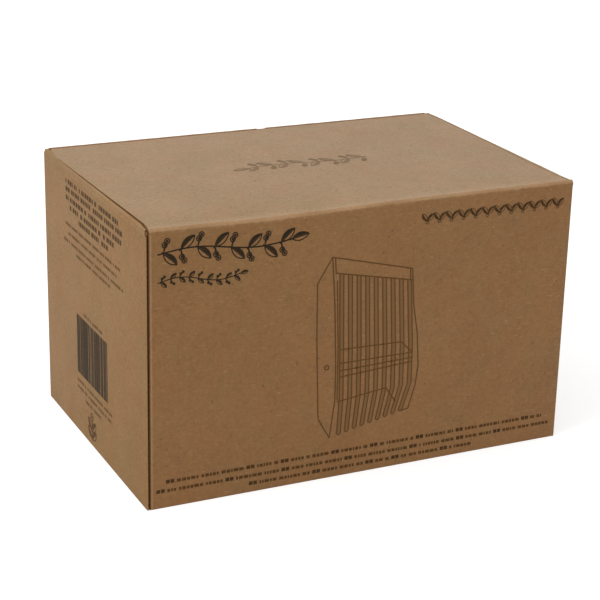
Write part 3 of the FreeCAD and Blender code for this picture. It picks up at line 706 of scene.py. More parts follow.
def board(low, high, trims=(), holes=(), outer=True, inner_low=None, inner_high=None, step=None,
          relief=None, recess=0.2, cuts=()):
    """Corrugated board in local axes: flutes along Y, outer liner at Z 0 looking up, inner liner at
    -BOARD. trims are (point, direction away) in X and Y, holes are (low, high) rectangles, cuts are
    (axis, places) that give relief its corners."""
    _, liner, medium = board_sizes()
    inner_low, inner_high = inner_low or low, inner_high or high
    sheets = []

    def cut(bm, back_off=0.0):
        for at, away in trims:
            away = Vector((*away, 0)).normalized()
            trim(bm, Vector((*at, 0)) - away * back_off, away)
        for hole_low, hole_high in holes:
            punch(bm, (0, 1), [v - back_off for v in hole_low], [v + back_off for v in hole_high])
        for axis, places in cuts:
            slices(bm, axis, places)
        if relief:
            for vert in bm.verts:
                vert.co.z += relief(vert.co)

    if outer:
        top = flat_sheet(low, high, 0, step)
        cut(top)
        thicken(top, liner)
        sheets.append(top)
    under = flat_sheet(inner_low, inner_high, -BOARD, step)
    cut(under)
    bmesh.ops.reverse_faces(under, faces=under.faces[:])
    thicken(under, liner)
    sheets.append(under)
    middle = fluted_sheet([max(a, b) + recess for a, b in zip(low, inner_low)],
                          [min(a, b) - recess for a, b in zip(high, inner_high)])
    cut(middle, recess)
    thicken(middle, medium)
    for face in middle.faces:
        face.material_index = RAW_EDGE
    sheets.append(middle)
    return absorb(bmesh.new(), *sheets)


# Carton


# Materials by slot: the liner, the raw edge and, at the end walls, what faces up, which takes the lid's
# liner with its painted sheen
LINER = ["kraft_liner", "fluting_paper_painted_shade"]
END_LINER = ["kraft_liner_end_painted_sheen", "fluting_paper_painted_shade", "kraft_liner_lid_painted_sheen"]
LID_LINER = ["kraft_liner_lid_painted_sheen", "cut_board_edge"]
CREASE_LINER = ["kraft_liner", "cut_board_edge"]
PAINTED_SHEEN_UP = 2
# Sizes in millimetres of the folds, gaps and worn edges that the scene gives the board, and of the pale
# bands at the folds, which paint a highlight as well as wear
WALL_HALF = HALF_LENGTH - BOARD - 0.1
RIGHT_FOLD = HALF_LENGTH - 0.3
RIGHT_RETURN = 2.6
CREASE_FOOT = 3.4
CREASE_REACH = 2.6
INNER_DROP = 1.0
ROLL_SKIRT = 4.4
ROLL_CREST = 2.5
ROLL_LEDGE = 6.2
ROLL_ROUND = 1.7
ROLL_GAP = 0.4
LIP = 0.04
EDGE_CRUSH = 0.6
FOLD_PALE = 1.2
CREASE_PALE = 2.1
PALE_EDGE = 0.7
# Rows of Y and the seam's width beside the lid
SEAM_LINE = ((-99, 2.0), (0, 1.2), (60, 0.7), (80, 0.16), (99, 0.1))
RIGHT_SEAM = 0.25
RIM_GAP = 1.3
SIDE_DIP = 1.2
NOTCH = (9.5, 14.5, 0.7)  # start, end, depth
WALL_FOOT = 0.2
FOLD_RETURN = 2.5
SAG_DEPTH = 26
EAR_SLOPE = 12
PANEL_CLIP = 2.2
TAB_MIDDLES, TAB_HALF = (-45, 45), 15


def lid_side_line():
    """The lid's side line as rows of Y and half width, from the crease to the tuck flap."""
    low, high = box_mm("lid_panel")
    hinge_step, relief_run, waist_run, shoulder_run = 1.1, 5, 13, 20
    waist = -box_mm("left_side_roll")[1].x - ROLL_GAP
    return [(low.y, waist + hinge_step), (low.y + relief_run, waist + hinge_step),
            (low.y + waist_run, waist), (high.y - shoulder_run, high.x), (high.y, waist)]


LID_SIDE = lid_side_line()
LID_FRONT, LID_BACK = LID_SIDE[0][0], LID_SIDE[-1][0]
LID_HINGE, LID_WIDE, LID_TUCK = LID_SIDE[0][1], LID_SIDE[3][1], LID_SIDE[4][1]


def along(rows, y):
    """The value at a Y between rows of Y and value."""
    for (y0, w0), (y1, w1) in zip(rows, rows[1:]):
        if y <= y1:
            break
    share = clipped((y - y0) / (y1 - y0))
    return w0 + (w1 - w0) * share


def lid_half(y):
    """Half the shown lid's width at a Y. The seam beside it opens towards the crease."""
    return along(LID_SIDE, y) + (ROLL_GAP - along(SEAM_LINE, y)) / 2


def roll_inner(y, left):
    """Where the rolled edge's crest ends beside the lid. At the right the lid lies close to it."""
    return lid_half(y) + (along(SEAM_LINE, y) if left else RIGHT_SEAM)


def sag(x):
    """How far the lid's crease has sunk at an X. It is lowest left of the middle."""
    lowest, run = -65, 62
    return size("carton", "sag") * math.exp(-((x - lowest) / run) ** 2)


def ear(ear_low, ear_high, radius):
    """The left ear at the hinge end: a flap between the two layers of the end wall."""
    root, tip = -BOARD, -(BOARD + ear_high.y - ear_low.y)
    slope = [((root, ear_high.z), (-EAR_SLOPE, root - tip))]
    flap = board((tip, BOARD + WALL_FOOT), (-radius - 1, ear_high.z), trims=slope)
    flap.transform(axes((0, -1, 0), (0, 0, 1), (-WALL_HALF, -HALF_WIDTH, 0)))
    return flap


def crushed_rim(half, top):
    """The back wall's top edge, crushed shut by the cutter, with its thumb nick."""
    start, end, depth = NOTCH
    skirt, crushed = 3, 2.9
    bm = bmesh.new()
    y0, y1 = -HALF_WIDTH - LIP, -HALF_WIDTH + BOARD + LIP
    folds = path_sheet(bm, [(half, y1, top - skirt), (half, y1, top), (half, y0, top),
                            (half, y0, top - skirt)], (-2 * half, 0, 0))
    bmesh.ops.recalc_face_normals(bm, faces=bm.faces[:])
    round_edges(bm, folds, 0.6, 3)
    slices(bm, 0, between(-half, half, 4) + [start - 1, start, end, end + 1.5])
    for vert in bm.verts:
        height = near(vert.co.z, top, crushed)
        inside = start - 0.5 < vert.co.x < end + 0.5
        worn = 0.12 * (1 + ripple_x(vert.co.x, 9, 11))
        vert.co.z -= height * ((depth if inside else 0.0) + worn)
    if any(f.normal.z < -0.5 for f in bm.faces):
        bmesh.ops.reverse_faces(bm, faces=bm.faces[:])
    thicken(bm, board_sizes()[1])
    return bm


def long_wall(name):
    """A long wall with its folds round to the ears, and the two ears, modelled at the hinge side."""
    liner = board_sizes()[1]
    radius = size("carton", "fold_radius")
    hinge = name == "front"
    top = HEIGHT - CREASE_FOOT if hinge else HEIGHT - 0.8
    inner_top = top - INNER_DROP if hinge else top
    right = RIGHT_FOLD if hinge else WALL_HALF
    panel = board((-WALL_HALF + radius, WALL_FOOT), (WALL_HALF - radius, top), outer=False,
                  inner_low=(-WALL_HALF + BOARD, BOARD), inner_high=(WALL_HALF - BOARD, inner_top))
    panel.transform(axes((1, 0, 0), (0, 0, 1), (0, -HALF_WIDTH, 0)))
    skin = bmesh.new()
    face, root = -HALF_WIDTH, -HALF_WIDTH + radius + FOLD_RETURN
    right_root = face + RIGHT_RETURN if hinge else root
    path = [(right, right_root), (right, face), (-WALL_HALF, face), (-WALL_HALF, root)]
    folds = path_sheet(skin, [(x, y, WALL_FOOT) for x, y in path], (0, 0, top - WALL_FOOT))
    for fold, round_off in zip(folds, (0.5 * radius if hinge else radius, radius)):
        round_edges(skin, [fold], round_off)
    if hinge:
        slices(skin, 2, (top - SAG_DEPTH, top - 12))
        slices(skin, 0, between(-WALL_HALF + radius, right - radius, 8)
               + [-WALL_HALF + away for away in (FOLD_PALE, FOLD_PALE + 0.8)])
        for vert in skin.verts:
            vert.co.z -= sag(vert.co.x) * near(vert.co.z, top, SAG_DEPTH)
    thicken(skin, liner)
    left = ear(*box_mm("ear_front_left"), radius)
    whole = absorb(bmesh.new(), panel, skin, mirrored(left.copy(), 0), left)
    if not hinge:
        absorb(whole, crushed_rim(WALL_HALF - RIM_GAP, HEIGHT))
        mirrored(whole, 1)

    # The left front fold is paler in a strip: painted highlight on the fold that faces the lamp.
    def rub_and_highlight(p):
        across = p.x + WALL_HALF
        pale = clipped((FOLD_PALE + PALE_EDGE - across) / PALE_EDGE)
        return 0.6 * pale * near(abs(p.y), HALF_WIDTH, 3 * radius)

    finish_piece(f"{name}_wall_board", whole, LINER, "carton",
                 (f"{name}_wall", f"ear_{name}_left", f"ear_{name}_right"), rub_and_highlight=rub_and_highlight)


def rolled_top(start, end, inside, left):
    """The end wall's top edge, folded over the ears: a crest beside the lid and a ledge under it."""
    top, foot = HEIGHT, HEIGHT - ROLL_SKIRT
    out = -HALF_LENGTH - LIP
    corner_reach, flattened, soft_reach = 1.75, 0.35, 1.9
    bm = bmesh.new()
    path = [(inside, foot), (inside, top - BOARD - 0.5), (out + ROLL_CREST + 0.4, top - BOARD - 0.25),
            (out + ROLL_CREST, top), (out, top), (out, foot)]
    folds = path_sheet(bm, [(x, start, z) for x, z in path], (0, end - start, 0))
    round_edges(bm, [folds[3]], ROLL_ROUND, 5)
    far = [v for v in bm.verts
           if v.co.y > 0 and v.co.z > top - corner_reach and v.co.x < out + corner_reach]
    bmesh.ops.scale(bm, vec=(flattened, 1, flattened), verts=far,
                    space=Matrix.Translation((-out, 0, -top)))
    round_edges(bm, [folds[2]], 0.45, 4)
    round_edges(bm, [folds[0]], 0.6, 3)
    slices(bm, 1, sorted(between(start, end, 4) + [y for y, _ in LID_SIDE[1:-1]]))
    for vert in bm.verts:
        crest = HALF_LENGTH - roll_inner(vert.co.y, left)
        across = vert.co.x - out
        if vert.co.z > top - BOARD - 0.6 and across < ROLL_LEDGE:
            bent = min(across, ROLL_CREST) / ROLL_CREST * crest
            rest = max(0.0, across - ROLL_CREST) / (ROLL_LEDGE - ROLL_CREST) * (ROLL_LEDGE - crest)
            vert.co.x = out + bent + rest
        if vert.co.z > top - soft_reach:
            soft = 0.12 + 0.12 * ripple((0, vert.co.y, 0), 13, 3)
            vert.co.z -= soft * min(1.0, (vert.co.z - top + soft_reach) / 1.5)
    thicken(bm, board_sizes()[1])
    bm.normal_update()
    # At the right the crest's upward faces take the lid's paler liner: painted sheen, so that they look lit
    # like the lid.
    for face in bm.faces:
        if not left and face.material_index != RAW_EDGE and face.normal.z > 0.6:
            face.material_index = PAINTED_SHEEN_UP
    low = Vector((out + 0.5, start + 0.25, foot + 0.3))
    high = Vector((out + 1.8, end - 0.25, top - 1.3))
    bmesh.ops.create_cube(bm, size=1, matrix=Matrix.Translation((low + high) / 2)
                          @ Matrix.Diagonal((*(high - low), 1)))
    return bm


def end_wall(side):
    """A doubled end wall, modelled at the left: outer panel, its top rolled over the ears, inner panel."""
    roll_low, roll_high = box_mm("left_side_roll")
    inner_low, inner_high = box_mm("left_side_inner")
    left = side == "left"
    front = -HALF_WIDTH if left else -HALF_WIDTH + RIGHT_RETURN + 0.1
    panel_top = roll_low.z
    clip = ((panel_top - PANEL_CLIP, front), (1, -1))

    def crushed(p):
        return -EDGE_CRUSH * near(p.y, front, 1.0) if p.z > -0.1 else 0.0

    panel = board((WALL_FOOT, front), (panel_top, HALF_WIDTH), trims=[clip], recess=0.4, relief=crushed,
                  cuts=[(1, (front + 0.3, front + 1.0))])
    panel.transform(axes((0, 0, 1), (0, 1, 0), (-HALF_LENGTH, 0, 0)))
    lining = [board((BOARD + WALL_FOOT, -inner_high.y), (inner_high.z - 0.5, inner_high.y))]
    for middle in TAB_MIDDLES:
        lining.append(board((0.3, middle - TAB_HALF), (BOARD + 0.5, middle + TAB_HALF)))
    for layer in lining:
        layer.transform(axes((0, 0, 1), (0, -1, 0), (inner_high.x, 0, 0)))
    roll = rolled_top(roll_low.y if left else LID_FRONT + CREASE_REACH + 0.3, roll_high.y,
                      inner_high.x + LIP, left)
    whole = absorb(bmesh.new(), panel, *lining, roll)
    if not left:
        mirrored(whole, 0)

    # Paler along the top of the end wall's outer edge: wear, and a painted highlight on the rolled bend.
    def rub_and_highlight(p):
        return 0.25 * near(p.z, HEIGHT, 1.4) * near(abs(p.x), HALF_LENGTH, 2.0)

    finish_piece(f"{side}_end_wall", whole, END_LINER, "carton",
                 [f"{side}_side_{part}" for part in ("outer", "roll", "inner")], rub_and_highlight=rub_and_highlight)


def lid_relief(p):
    """How far the lid's top paper lies below a true plane at a point of it."""
    dent_depth, dent_at, dent_wide, side_depth, sag_run, uneven = 0.35, 7.5, 2.0, 0.35, 34, 0.12
    ahead = p.y - LID_FRONT
    dent = dent_depth * math.exp(-((ahead - dent_at) / dent_wide) ** 2)
    dent *= max(0.0, 0.3 + ripple_x(p.x, 60, 5)) * near(p.x, -110, 90)
    side = side_depth * near(abs(p.x), LID_WIDE, SIDE_DIP) ** 1.5
    sunk = sag(p.x) * max(0.0, 1 - ahead / sag_run) ** 2
    return -dent - side - sunk - uneven * (1 + ripple((p.x, p.y, 0), 45, 1))


def lid_level(p):
    """The relief at a point of the lid once its sides are waisted."""
    return lid_relief(Vector((p.x * LID_WIDE / lid_half(p.y), p.y, 0)))


def pale_along_crease(x):
    """How pale the lid's crease and the lid's front strip are at an X: rubbed by handling, and a painted
    highlight along the bend.
    """
    return 0.8 + 0.4 * ripple_x(x, 26, 12)


def taper_lid(bm):
    """Bring a lid's straight sides to its waisted side line."""
    for vert in bm.verts:
        vert.co.x *= lid_half(vert.co.y) / LID_WIDE


def lid_panel():
    """The lid: its sides are cut edges, its front and back run into the folds."""
    front, back = LID_FRONT + CREASE_REACH, LID_BACK - CREASE_REACH
    dips = [sign * (LID_WIDE - away) for sign in (-1, 1) for away in (0.35, SIDE_DIP)]
    whole = board((-LID_WIDE, front), (LID_WIDE, back), step=3, relief=lid_relief,
                  cuts=[(0, dips), (1, (front + 4, front + 10, front + 18, front + 30, 0, 50))],
                  inner_low=(-LID_WIDE, front + INNER_DROP), inner_high=(LID_WIDE, back - INNER_DROP))
    slices(whole, 1, [y for y, _ in LID_SIDE[1:-1]])
    taper_lid(whole)
    whole.transform(Matrix.Translation((0, 0, HEIGHT)))
    # The lid's front strip beside the crease is paler: handling wear, and a painted highlight where the lid
    # bends into the crease.
    finish_piece("lid_board", whole, LID_LINER, "lid", ["lid_panel"],
                 rub_and_highlight=lambda p: 0.55 * pale_along_crease(p.x) * near(p.y, front, 10) ** 2)


TUCK_LEAN = math.radians(9)
TUCK_FOOT = 2.9
TUCK_INNER_FOOT = 1.5
TUCK_DEPTH, TUCK_CORNER = 42.6, 14
LID_BEND, TUCK_BEND = 0.64, 0.9


def tuck_frame():
    """The tuck flap's local axes at its hinge line: Y up along the flap, Z out of its outer face."""
    return axes((-1, 0, 0), (0, math.sin(TUCK_LEAN), math.cos(TUCK_LEAN)), (0, LID_BACK, HEIGHT))


def tuck_flap():
    """The flap that slips down inside the back wall, with its two corners cut round."""
    half = box_mm("tuck_flap")[1].x
    trims = []
    for sign in (-1, 1):
        for degrees in (11, 26, 41, 56, 71, 84):
            away = Vector((sign * math.cos(math.radians(degrees)), -math.sin(math.radians(degrees))))
            centre = Vector((sign * (half - TUCK_CORNER), TUCK_CORNER - TUCK_DEPTH))
            trims.append((centre + away * TUCK_CORNER, away))
    whole = board((-half, -TUCK_DEPTH), (half, -TUCK_FOOT), trims=trims,
                  inner_high=(half, -TUCK_INNER_FOOT))
    whole.transform(tuck_frame())
    finish_piece("tuck_flap_board", whole, LINER, "tuck", ["tuck_flap"])


def fold_block(section, ends, corner, radius, wave):
    """Board bent round a crease: a section in Y and Z drawn along X, its outer corner rounded.
    wave moves each point of the finished block."""
    bm = bmesh.new()
    start = bm.faces.new([bm.verts.new((ends[0], y, z)) for y, z in section])
    geom = bmesh.ops.extrude_face_region(bm, geom=[start])["geom"]
    bmesh.ops.translate(bm, verts=[v for v in geom if isinstance(v, bmesh.types.BMVert)],
                        vec=(ends[1] - ends[0], 0, 0))
    bmesh.ops.recalc_face_normals(bm, faces=bm.faces[:])

    def edges_at(index):
        y, z = section[index]
        return [e for e in bm.edges if all(abs(v.co.y - y) + abs(v.co.z - z) < 0.01 for v in e.verts)]

    outer, inner = (edges_at(index) for index in corner)
    round_edges(bm, outer, radius, 7)
    round_edges(bm, inner, 0.45, 5)
    slices(bm, 0, between(*ends, 1.5))
    for vert in bm.verts:
        vert.co += wave(vert.co)
    for face in bm.faces:
        if abs(face.normal.x) > 0.9:
            face.material_index = RAW_EDGE
    return bm


def lid_crease():
    """The lid's hinge: the fold between the front wall and the lid, worn pale with a painted highlight
    along its bend, and not quite straight.
    """
    wander = size("carton", "crease_wave")
    front, foot = LID_FRONT, HEIGHT - CREASE_FOOT
    section = [(front, foot), (front, HEIGHT), (front + CREASE_REACH, HEIGHT),
               (front + CREASE_REACH + INNER_DROP, HEIGHT - BOARD), (front + BOARD, HEIGHT - BOARD),
               (front + BOARD, foot - INNER_DROP)]

    def wave(p):
        if p.y > front + BOARD - 0.6 and p.z < HEIGHT - BOARD + 0.3:
            return Vector((0, 0, 0))
        worn = near(p.z, HEIGHT, 2.4) * near(p.y, front, 2.5)
        nick = 0.5 * max(0.0, ripple_x(p.x, 4, 6)) * near(p.x, -90, 60)
        level = lid_level(p)
        on_top = p.z > HEIGHT - BOARD - 0.6
        onto_lid = clipped((p.y - front) / CREASE_REACH) if on_top else 0.0
        return Vector((0, wander * worn * (0.6 + ripple_x(p.x, 17, 2)),
                       -wander * worn * (0.6 + ripple_x(p.x, 23, 7) + nick)
                       - sag(p.x) * (1 - onto_lid) + level * onto_lid))

    whole = fold_block(section, (-LID_HINGE, RIGHT_FOLD - 0.1), (1, 4), size("carton", "crease_radius"),
                       wave)

    # A ragged pale band along the crease: rubbed paper, and a painted highlight along the bend.
    def rub_and_highlight(p):
        ragged = 0.45 * ripple_x(p.x, 4, 8) + 0.35 * ripple_x(p.x, 15, 4)
        above = clipped((p.z + sag(p.x) - HEIGHT + CREASE_PALE - ragged) / PALE_EDGE)
        onto_lid = clipped((p.y - front) / CREASE_REACH)
        return above * pale_along_crease(p.x) * (1 - 0.4 * onto_lid)

    obj = finish_piece("lid_crease", whole, CREASE_LINER, rub_and_highlight=rub_and_highlight, sharp=50)
    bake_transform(obj)


def tuck_crease():
    """The fold between the lid and its tuck flap."""
    back = LID_BACK
    frame_at = tuck_frame()
    outer_foot = frame_at @ Vector((0, -TUCK_FOOT, 0))
    down = frame_at.to_3x3() @ Vector((0, -1, 0))
    inner_top = frame_at @ Vector((0, 0, -BOARD))
    inner_corner = inner_top + down * ((inner_top.z - (HEIGHT - BOARD)) / -down.z)
    inner_foot = inner_corner + down * 1.4
    section = [(back - CREASE_REACH, HEIGHT), (back, HEIGHT), outer_foot[1:], inner_foot[1:],
               inner_corner[1:], (back - CREASE_REACH - INNER_DROP, HEIGHT - BOARD)]

    def wave(p):
        return Vector((0, 0, -0.1 - 0.1 * ripple_x(p.x, 15, 9)))

    whole = fold_block(section, (-LID_TUCK, LID_TUCK), (1, 4), size("carton", "tuck_radius"), wave)
    obj = finish_piece("tuck_crease_fold", whole, LINER, sharp=50,
                       rub_and_highlight=lambda p: 0.5 * near(p.z, HEIGHT, 1.2))
    across = (inner_corner - Vector((0, back, HEIGHT))).normalized()
    reach = Vector((0, -across.z, across.y)) * TUCK_BEND
    if reach.z > 0:
        reach.negate()
    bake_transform(obj)


def bottom_panel():
    """The base keeps its CAD shape and gets the liner's look."""
    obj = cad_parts["bottom_panel"]
    for material_slot in obj.material_slots:
        material_slot.material = bpy.data.materials["kraft_liner"]


# Prints, drawn flat in millimetres and then laid on a face


FRONT_FACE = axes((1, 0, 0), (0, 0, 1), (-HALF_LENGTH, -HALF_WIDTH, 0))
LEFT_FACE = axes((0, -1, 0), (0, 0, 1), (-HALF_LENGTH, HALF_WIDTH, 0))
LID_FACE = axes((-1, 0, 0), (0, -1, 0), (0, 0, HEIGHT))
RING_STEPS = 20
# Branches: length, leaves, leaf length, pen
LARGE_BRANCH = (88, 8, 12, 0.75)
SMALL_BRANCH = (54, 9, 5.2, 0.5)
# Dashed rows: start, end and base on the front, depth below the top edge, start and end on the left
FRONT_ROWS = ((12.4, 289.4, 16.6), (6, 296, 10.6), (69, 233.6, 5.0))
FRONT_TALL = 4.2
BOLD_ROWS = ((8.9, 45, 158), (14.3, 45, 160), (20.3, 45, 158), (26, 53, 149), (31.5, 71, 131))
BOLD_TALL = 6.4
FINE_ROWS = ((39, 44, 153), (45, 50, 146), (51, 40, 159), (56, 65, 136), (93.6, 78, 119), (145, 63, 136),
             (150, 63, 135), (155.5, 79, 114))
FINE_TALL = 4.0
# Bars of the left side, and the drawing's tines
BAR_START, BAR_END, BAR_TOP, BAR_FOOT = 64.5, 127, HEIGHT - 98, HEIGHT - 140
BAR_WIDTHS, BAR_GAPS = (0.6, 1.2, 1.8, 2.4), (0.45, 0.45, 1.0)
TINE_COUNT, TINE_WIDE = 9, 2.7


def stroke(bm, points, width):
    """A flat line of even width through points."""
    points = [Vector(p[:2]) for p in points]
    last = len(points) - 1
    for vert in bmesh.ops.create_grid(bm, x_segments=last, y_segments=1, size=0.5)["verts"]:
        i = round((vert.co.x + 0.5) * last)
        ahead = points[min(i + 1, last)] - points[max(i - 1, 0)]
        side = Vector((-ahead.y, ahead.x)).normalized() * width * vert.co.y
        vert.co = (*(points[i] + side), 0)


def ring(bm, centre, radius, width):
    turns = [2 * math.pi * i / RING_STEPS for i in range(RING_STEPS + 1)]
    stroke(bm, [(centre[0] + radius * math.cos(a), centre[1] + radius * math.sin(a)) for a in turns], width)


def spot(bm, centre, radius):
    bmesh.ops.create_circle(bm, cap_ends=True, segments=18, radius=radius,
                            matrix=Matrix.Translation((*centre, 0)))


def leaf(bm, root, degrees, long, wide, pen):
    """A pointed leaf, filled on one side of its rib and outlined on the other."""
    turn = Matrix.Translation((*root, 0)) @ Matrix.Rotation(math.radians(degrees), 4, "Z")
    for vert in bmesh.ops.create_circle(bm, cap_ends=True, segments=28, radius=1)["verts"]:
        x, y = vert.co.x, max(0.0, vert.co.y)
        vert.co = turn @ Vector(((x + 1) / 2 * long, y * y * wide / 2 + pen * 0.3, 0))
    rim = [(i / 10 * long, -(1 - (i / 5 - 1) ** 2) * wide / 2 - pen * 0.3, 0) for i in range(11)]
    stroke(bm, [turn @ Vector(p) for p in rim], pen)
    stroke(bm, [turn @ Vector((x, -pen * 0.3, 0)) for x in (-long * 0.12, long)], pen)


def berry_branch(at, long, leaves, leaf_long, pen):
    """A bowed branch from a place along X, with leaves and berries by turns on its two sides."""
    bm = bmesh.new()

    def stem(x):
        return Vector((x, 2.4 * math.sin(2 * math.pi * x / long)))

    stroke(bm, [stem(long * i / 40) for i in range(41)], pen * 1.3)
    for i in range(leaves):
        side = 1 if i % 2 else -1
        root = stem(long * (i + 0.35) / leaves)
        leaf(bm, root, side * 42, leaf_long, leaf_long * 0.42, pen)
        for step, away in ((0.8, 0.42), (2.4, 0.62)):
            fruit = root + Vector((step, -side * away * leaf_long))
            stroke(bm, [root, root.lerp(fruit, 0.8)], pen)
            ring(bm, fruit, leaf_long * 0.135, pen)
            spot(bm, fruit, leaf_long * 0.075)
    leaf(bm, stem(long), 12, leaf_long, leaf_long * 0.42, pen)
    bm.transform(Matrix.Translation((*at, 0)))
    return bm


def dash_row(bm, start, end, base, tall, rng, heads=None):
    """A row of level dashes in groups of uneven length. Two dark squares from heads may lead a run."""
    x = start
    while x < end - tall:
        for _ in range(2 if heads else 0):
            block(heads, (x, base), (x + tall * 0.6, base + tall * 0.6))
            x += tall * 0.72
        for _ in range(rng.randint(2, 3)):
            x += tall * 0.3
            for _ in range(rng.randint(1, 6)):
                wide = tall * rng.uniform(0.25, 0.75)
                if x + wide > end:
                    break
                block(bm, (x, base), (x + wide, base + tall * 0.5))
                x += wide + tall * 0.16
        x += tall * 0.3


def raise_strokes(bm, step=0.004, layers=12):
    """Lift each stroke a hair above the one before, so that no two lie in one plane."""
    seen, count = set(), 0
    for seed in bm.verts:
        if seed in seen:
            continue
        seen.add(seed)
        front = [seed]
        while front:
            vert = front.pop()
            vert.co.z += step * (count % layers)
            reached = {edge.other_vert(vert) for edge in vert.link_edges} - seen
            seen |= reached
            front += reached
        count += 1


def lay(name, bm, face, ink, body, lift=1.0, relief=None):
    """Lay a flat print on a face of the carton."""
    raise_strokes(bm)
    bmesh.ops.translate(bm, verts=bm.verts[:], vec=(0, 0, size("print", "ink_lift") * lift))
    bm.transform(face)
    if relief:
        for vert in bm.verts:
            vert.co.z += relief(vert.co)
    finish_piece(name, bm, [ink], body)


def front_branch():
    """The ornament at the front's top left, and the row of sprigs at its top right."""
    lay("front_branch", berry_branch((7.5, 167.5), *LARGE_BRANCH), FRONT_FACE, "ink_dark", "carton")
    row = bmesh.new()
    for i in range(12):
        x = 190.5 + i * 8.9
        for degrees in (48, 128):
            leaf(row, (x, 168.0), degrees, 6.6, 3.0, 0.45)
        ring(row, (x, 167.3), 1.1, 0.45)
    lay("front_sprig_row", row, FRONT_FACE, "ink_small", "carton")


def front_small_print():
    """The caption's row under the ornament and three rows along the front's foot."""
    rng = random.Random(11)
    lay("front_caption", berry_branch((7.5, 149.5), *SMALL_BRANCH), FRONT_FACE, "ink_dark", "carton")
    rows, heads = bmesh.new(), bmesh.new()
    for start, end, base in FRONT_ROWS:
        dash_row(rows, start, end, base, FRONT_TALL, rng, heads)
    lay("front_dash_rows", rows, FRONT_FACE, "ink_line", "carton")
    lay("front_dash_heads", heads, FRONT_FACE, "ink_small", "carton")


def front_drawing():
    """A fine line drawing of the rake: side plates, top band, nine tines, door, bar and axle."""
    pen = size("print", "line_width")
    bm, tint = bmesh.new(), bmesh.new()
    lines = [
        [(124, 152), (114, 135.5), (114.5, 100), (116.5, 52), (117, 43)],
        [(117, 43), (125.3, 28.5), (128.6, 54)],
        [(124, 152), (126.6, 120), (128.4, 80), (128.6, 54)],
        [(124, 152), (181.5, 137.5)], [(126.4, 141.2), (180.3, 130)], [(180.3, 130), (180, 137.6)],
        [(126, 151.4), (126.8, 141)],
        [(181.5, 137.5), (183.6, 112), (187, 93), (188.9, 70), (187.3, 56), (182.6, 40), (177.5, 39.4)],
        [(131, 89), (175.5, 88), (184.2, 79.6), (131, 79.5)], [(130.8, 74.3), (184.6, 76)],
        [(130.8, 70), (184.2, 73.2)], [(130, 53), (165.5, 57.4), (173, 46.5)],
        [(127.8, 136), (129.8, 90), (130.2, 54)],
    ]
    for line in lines:
        for pair in zip(line, line[1:]):
            stroke(bm, pair, pen)
    left = [(129.4, 140.2), (131.0, 89.0), (131.7, 54), (130.6, 30.5)]
    right = [(178.2, 130.6), (181.2, 84.0), (181.4, 58), (175.5, 40.0)]
    for i in range(TINE_COUNT):
        share = i / (TINE_COUNT - 1)
        for shift in (0.0, TINE_WIDE):
            line = [Vector(a).lerp(Vector(b), share) + Vector((shift, 0)) for a, b in zip(left, right)]
            stroke(bm, line, pen)
        stroke(tint, [p - Vector((TINE_WIDE / 2, 0)) for p in line], TINE_WIDE)
        tip = Vector(left[-1]).lerp(Vector(right[-1]), share)
        stroke(bm, [tip, tip + Vector((1.3, -0.9)), tip + Vector((TINE_WIDE, 0))], pen)
    ring(bm, (122, 78), 1.5, pen)
    lay("front_drawing_tint", tint, FRONT_FACE, "ink_tint", "carton")
    lay("front_drawing", bm, FRONT_FACE, "ink_drawing", "carton", lift=1.6)


def left_print():
    """The left face's dashed rows, its bars and its sprig."""
    rng = random.Random(23)
    bold, fine, bars = bmesh.new(), bmesh.new(), bmesh.new()
    for depth, start, end in BOLD_ROWS:
        dash_row(bold, start, end, HEIGHT - depth - 2.6, BOLD_TALL, rng)
    for depth, start, end in FINE_ROWS:
        dash_row(fine, start, end, HEIGHT - depth - 1.8, FINE_TALL, rng)
    x = BAR_START
    while x < BAR_END - 1.5:
        wide = rng.choice(BAR_WIDTHS)
        block(bars, (x, BAR_FOOT), (x + wide, BAR_TOP))
        x += wide + rng.choice(BAR_GAPS)
    lay("left_bold_print", bold, LEFT_FACE, "ink_bold", "carton")
    lay("left_fine_print", fine, LEFT_FACE, "ink_pale", "carton")
    lay("left_bars", bars, LEFT_FACE, "ink_dark", "carton")
    sprig = bmesh.new()
    stroke(sprig, [(92, 3), (93, 10), (93, 18)], 1.0)
    for root, degrees in ((5.5, 38), (5.5, 142), (11.5, 42), (11.5, 138)):
        leaf(sprig, (93, root), degrees, 10.5, 5.5, 0.8)
    ring(sprig, (93, 21), 2.6, 0.9)
    spot(sprig, (93, 21), 1.2)
    lay("left_sprig", sprig, LEFT_FACE, "ink_line", "carton")


def lid_print():
    """The ornament on the lid, which reads from the hinge's far side and is printed thin."""
    lay("lid_branch", berry_branch((-49, -3), *LARGE_BRANCH), LID_FACE, "ink_faded", "lid", lift=1.6,
        relief=lid_level)


# Rake


WOOD_PIECES = {
    "side_plate_left": "plywood_side", "side_plate_right": "plywood_side", "roof_board": "plywood_roof",
    "end_board": "plywood_end", "tine_rail": "birch_solid", "tine_bar": "birch_solid",
}
STEEL_PIECES = {"tines": "drawn_wire", "door_axle": "drawn_wire", "axle_caps": "zinc_fastener"}
HANDLE_PIECES = {"handle_grip": "beech_grip", "handle_strap_front": "zinc_strap",
                 "handle_strap_back": "zinc_strap"}
FASTENERS = ["bar_screws", "rail_screws", "end_board_screws", "roof_screws", "grip_screws",
             "bracket_bolts", "bracket_nuts"]
# Rounded rims, then the smallest head with a recess in square metres, then the recess, in metres
GRIP_RADIUS, STRAP_RADIUS, CAP_RADIUS, DOOR_RADIUS = 0.0015, 0.0004, 0.0004, 0.0002
SMALLEST_HEAD = 1.2e-5
DRIVER_RIM, DRIVER_WALL, DRIVER_DEPTH = 0.0009, 0.00015, 0.0006


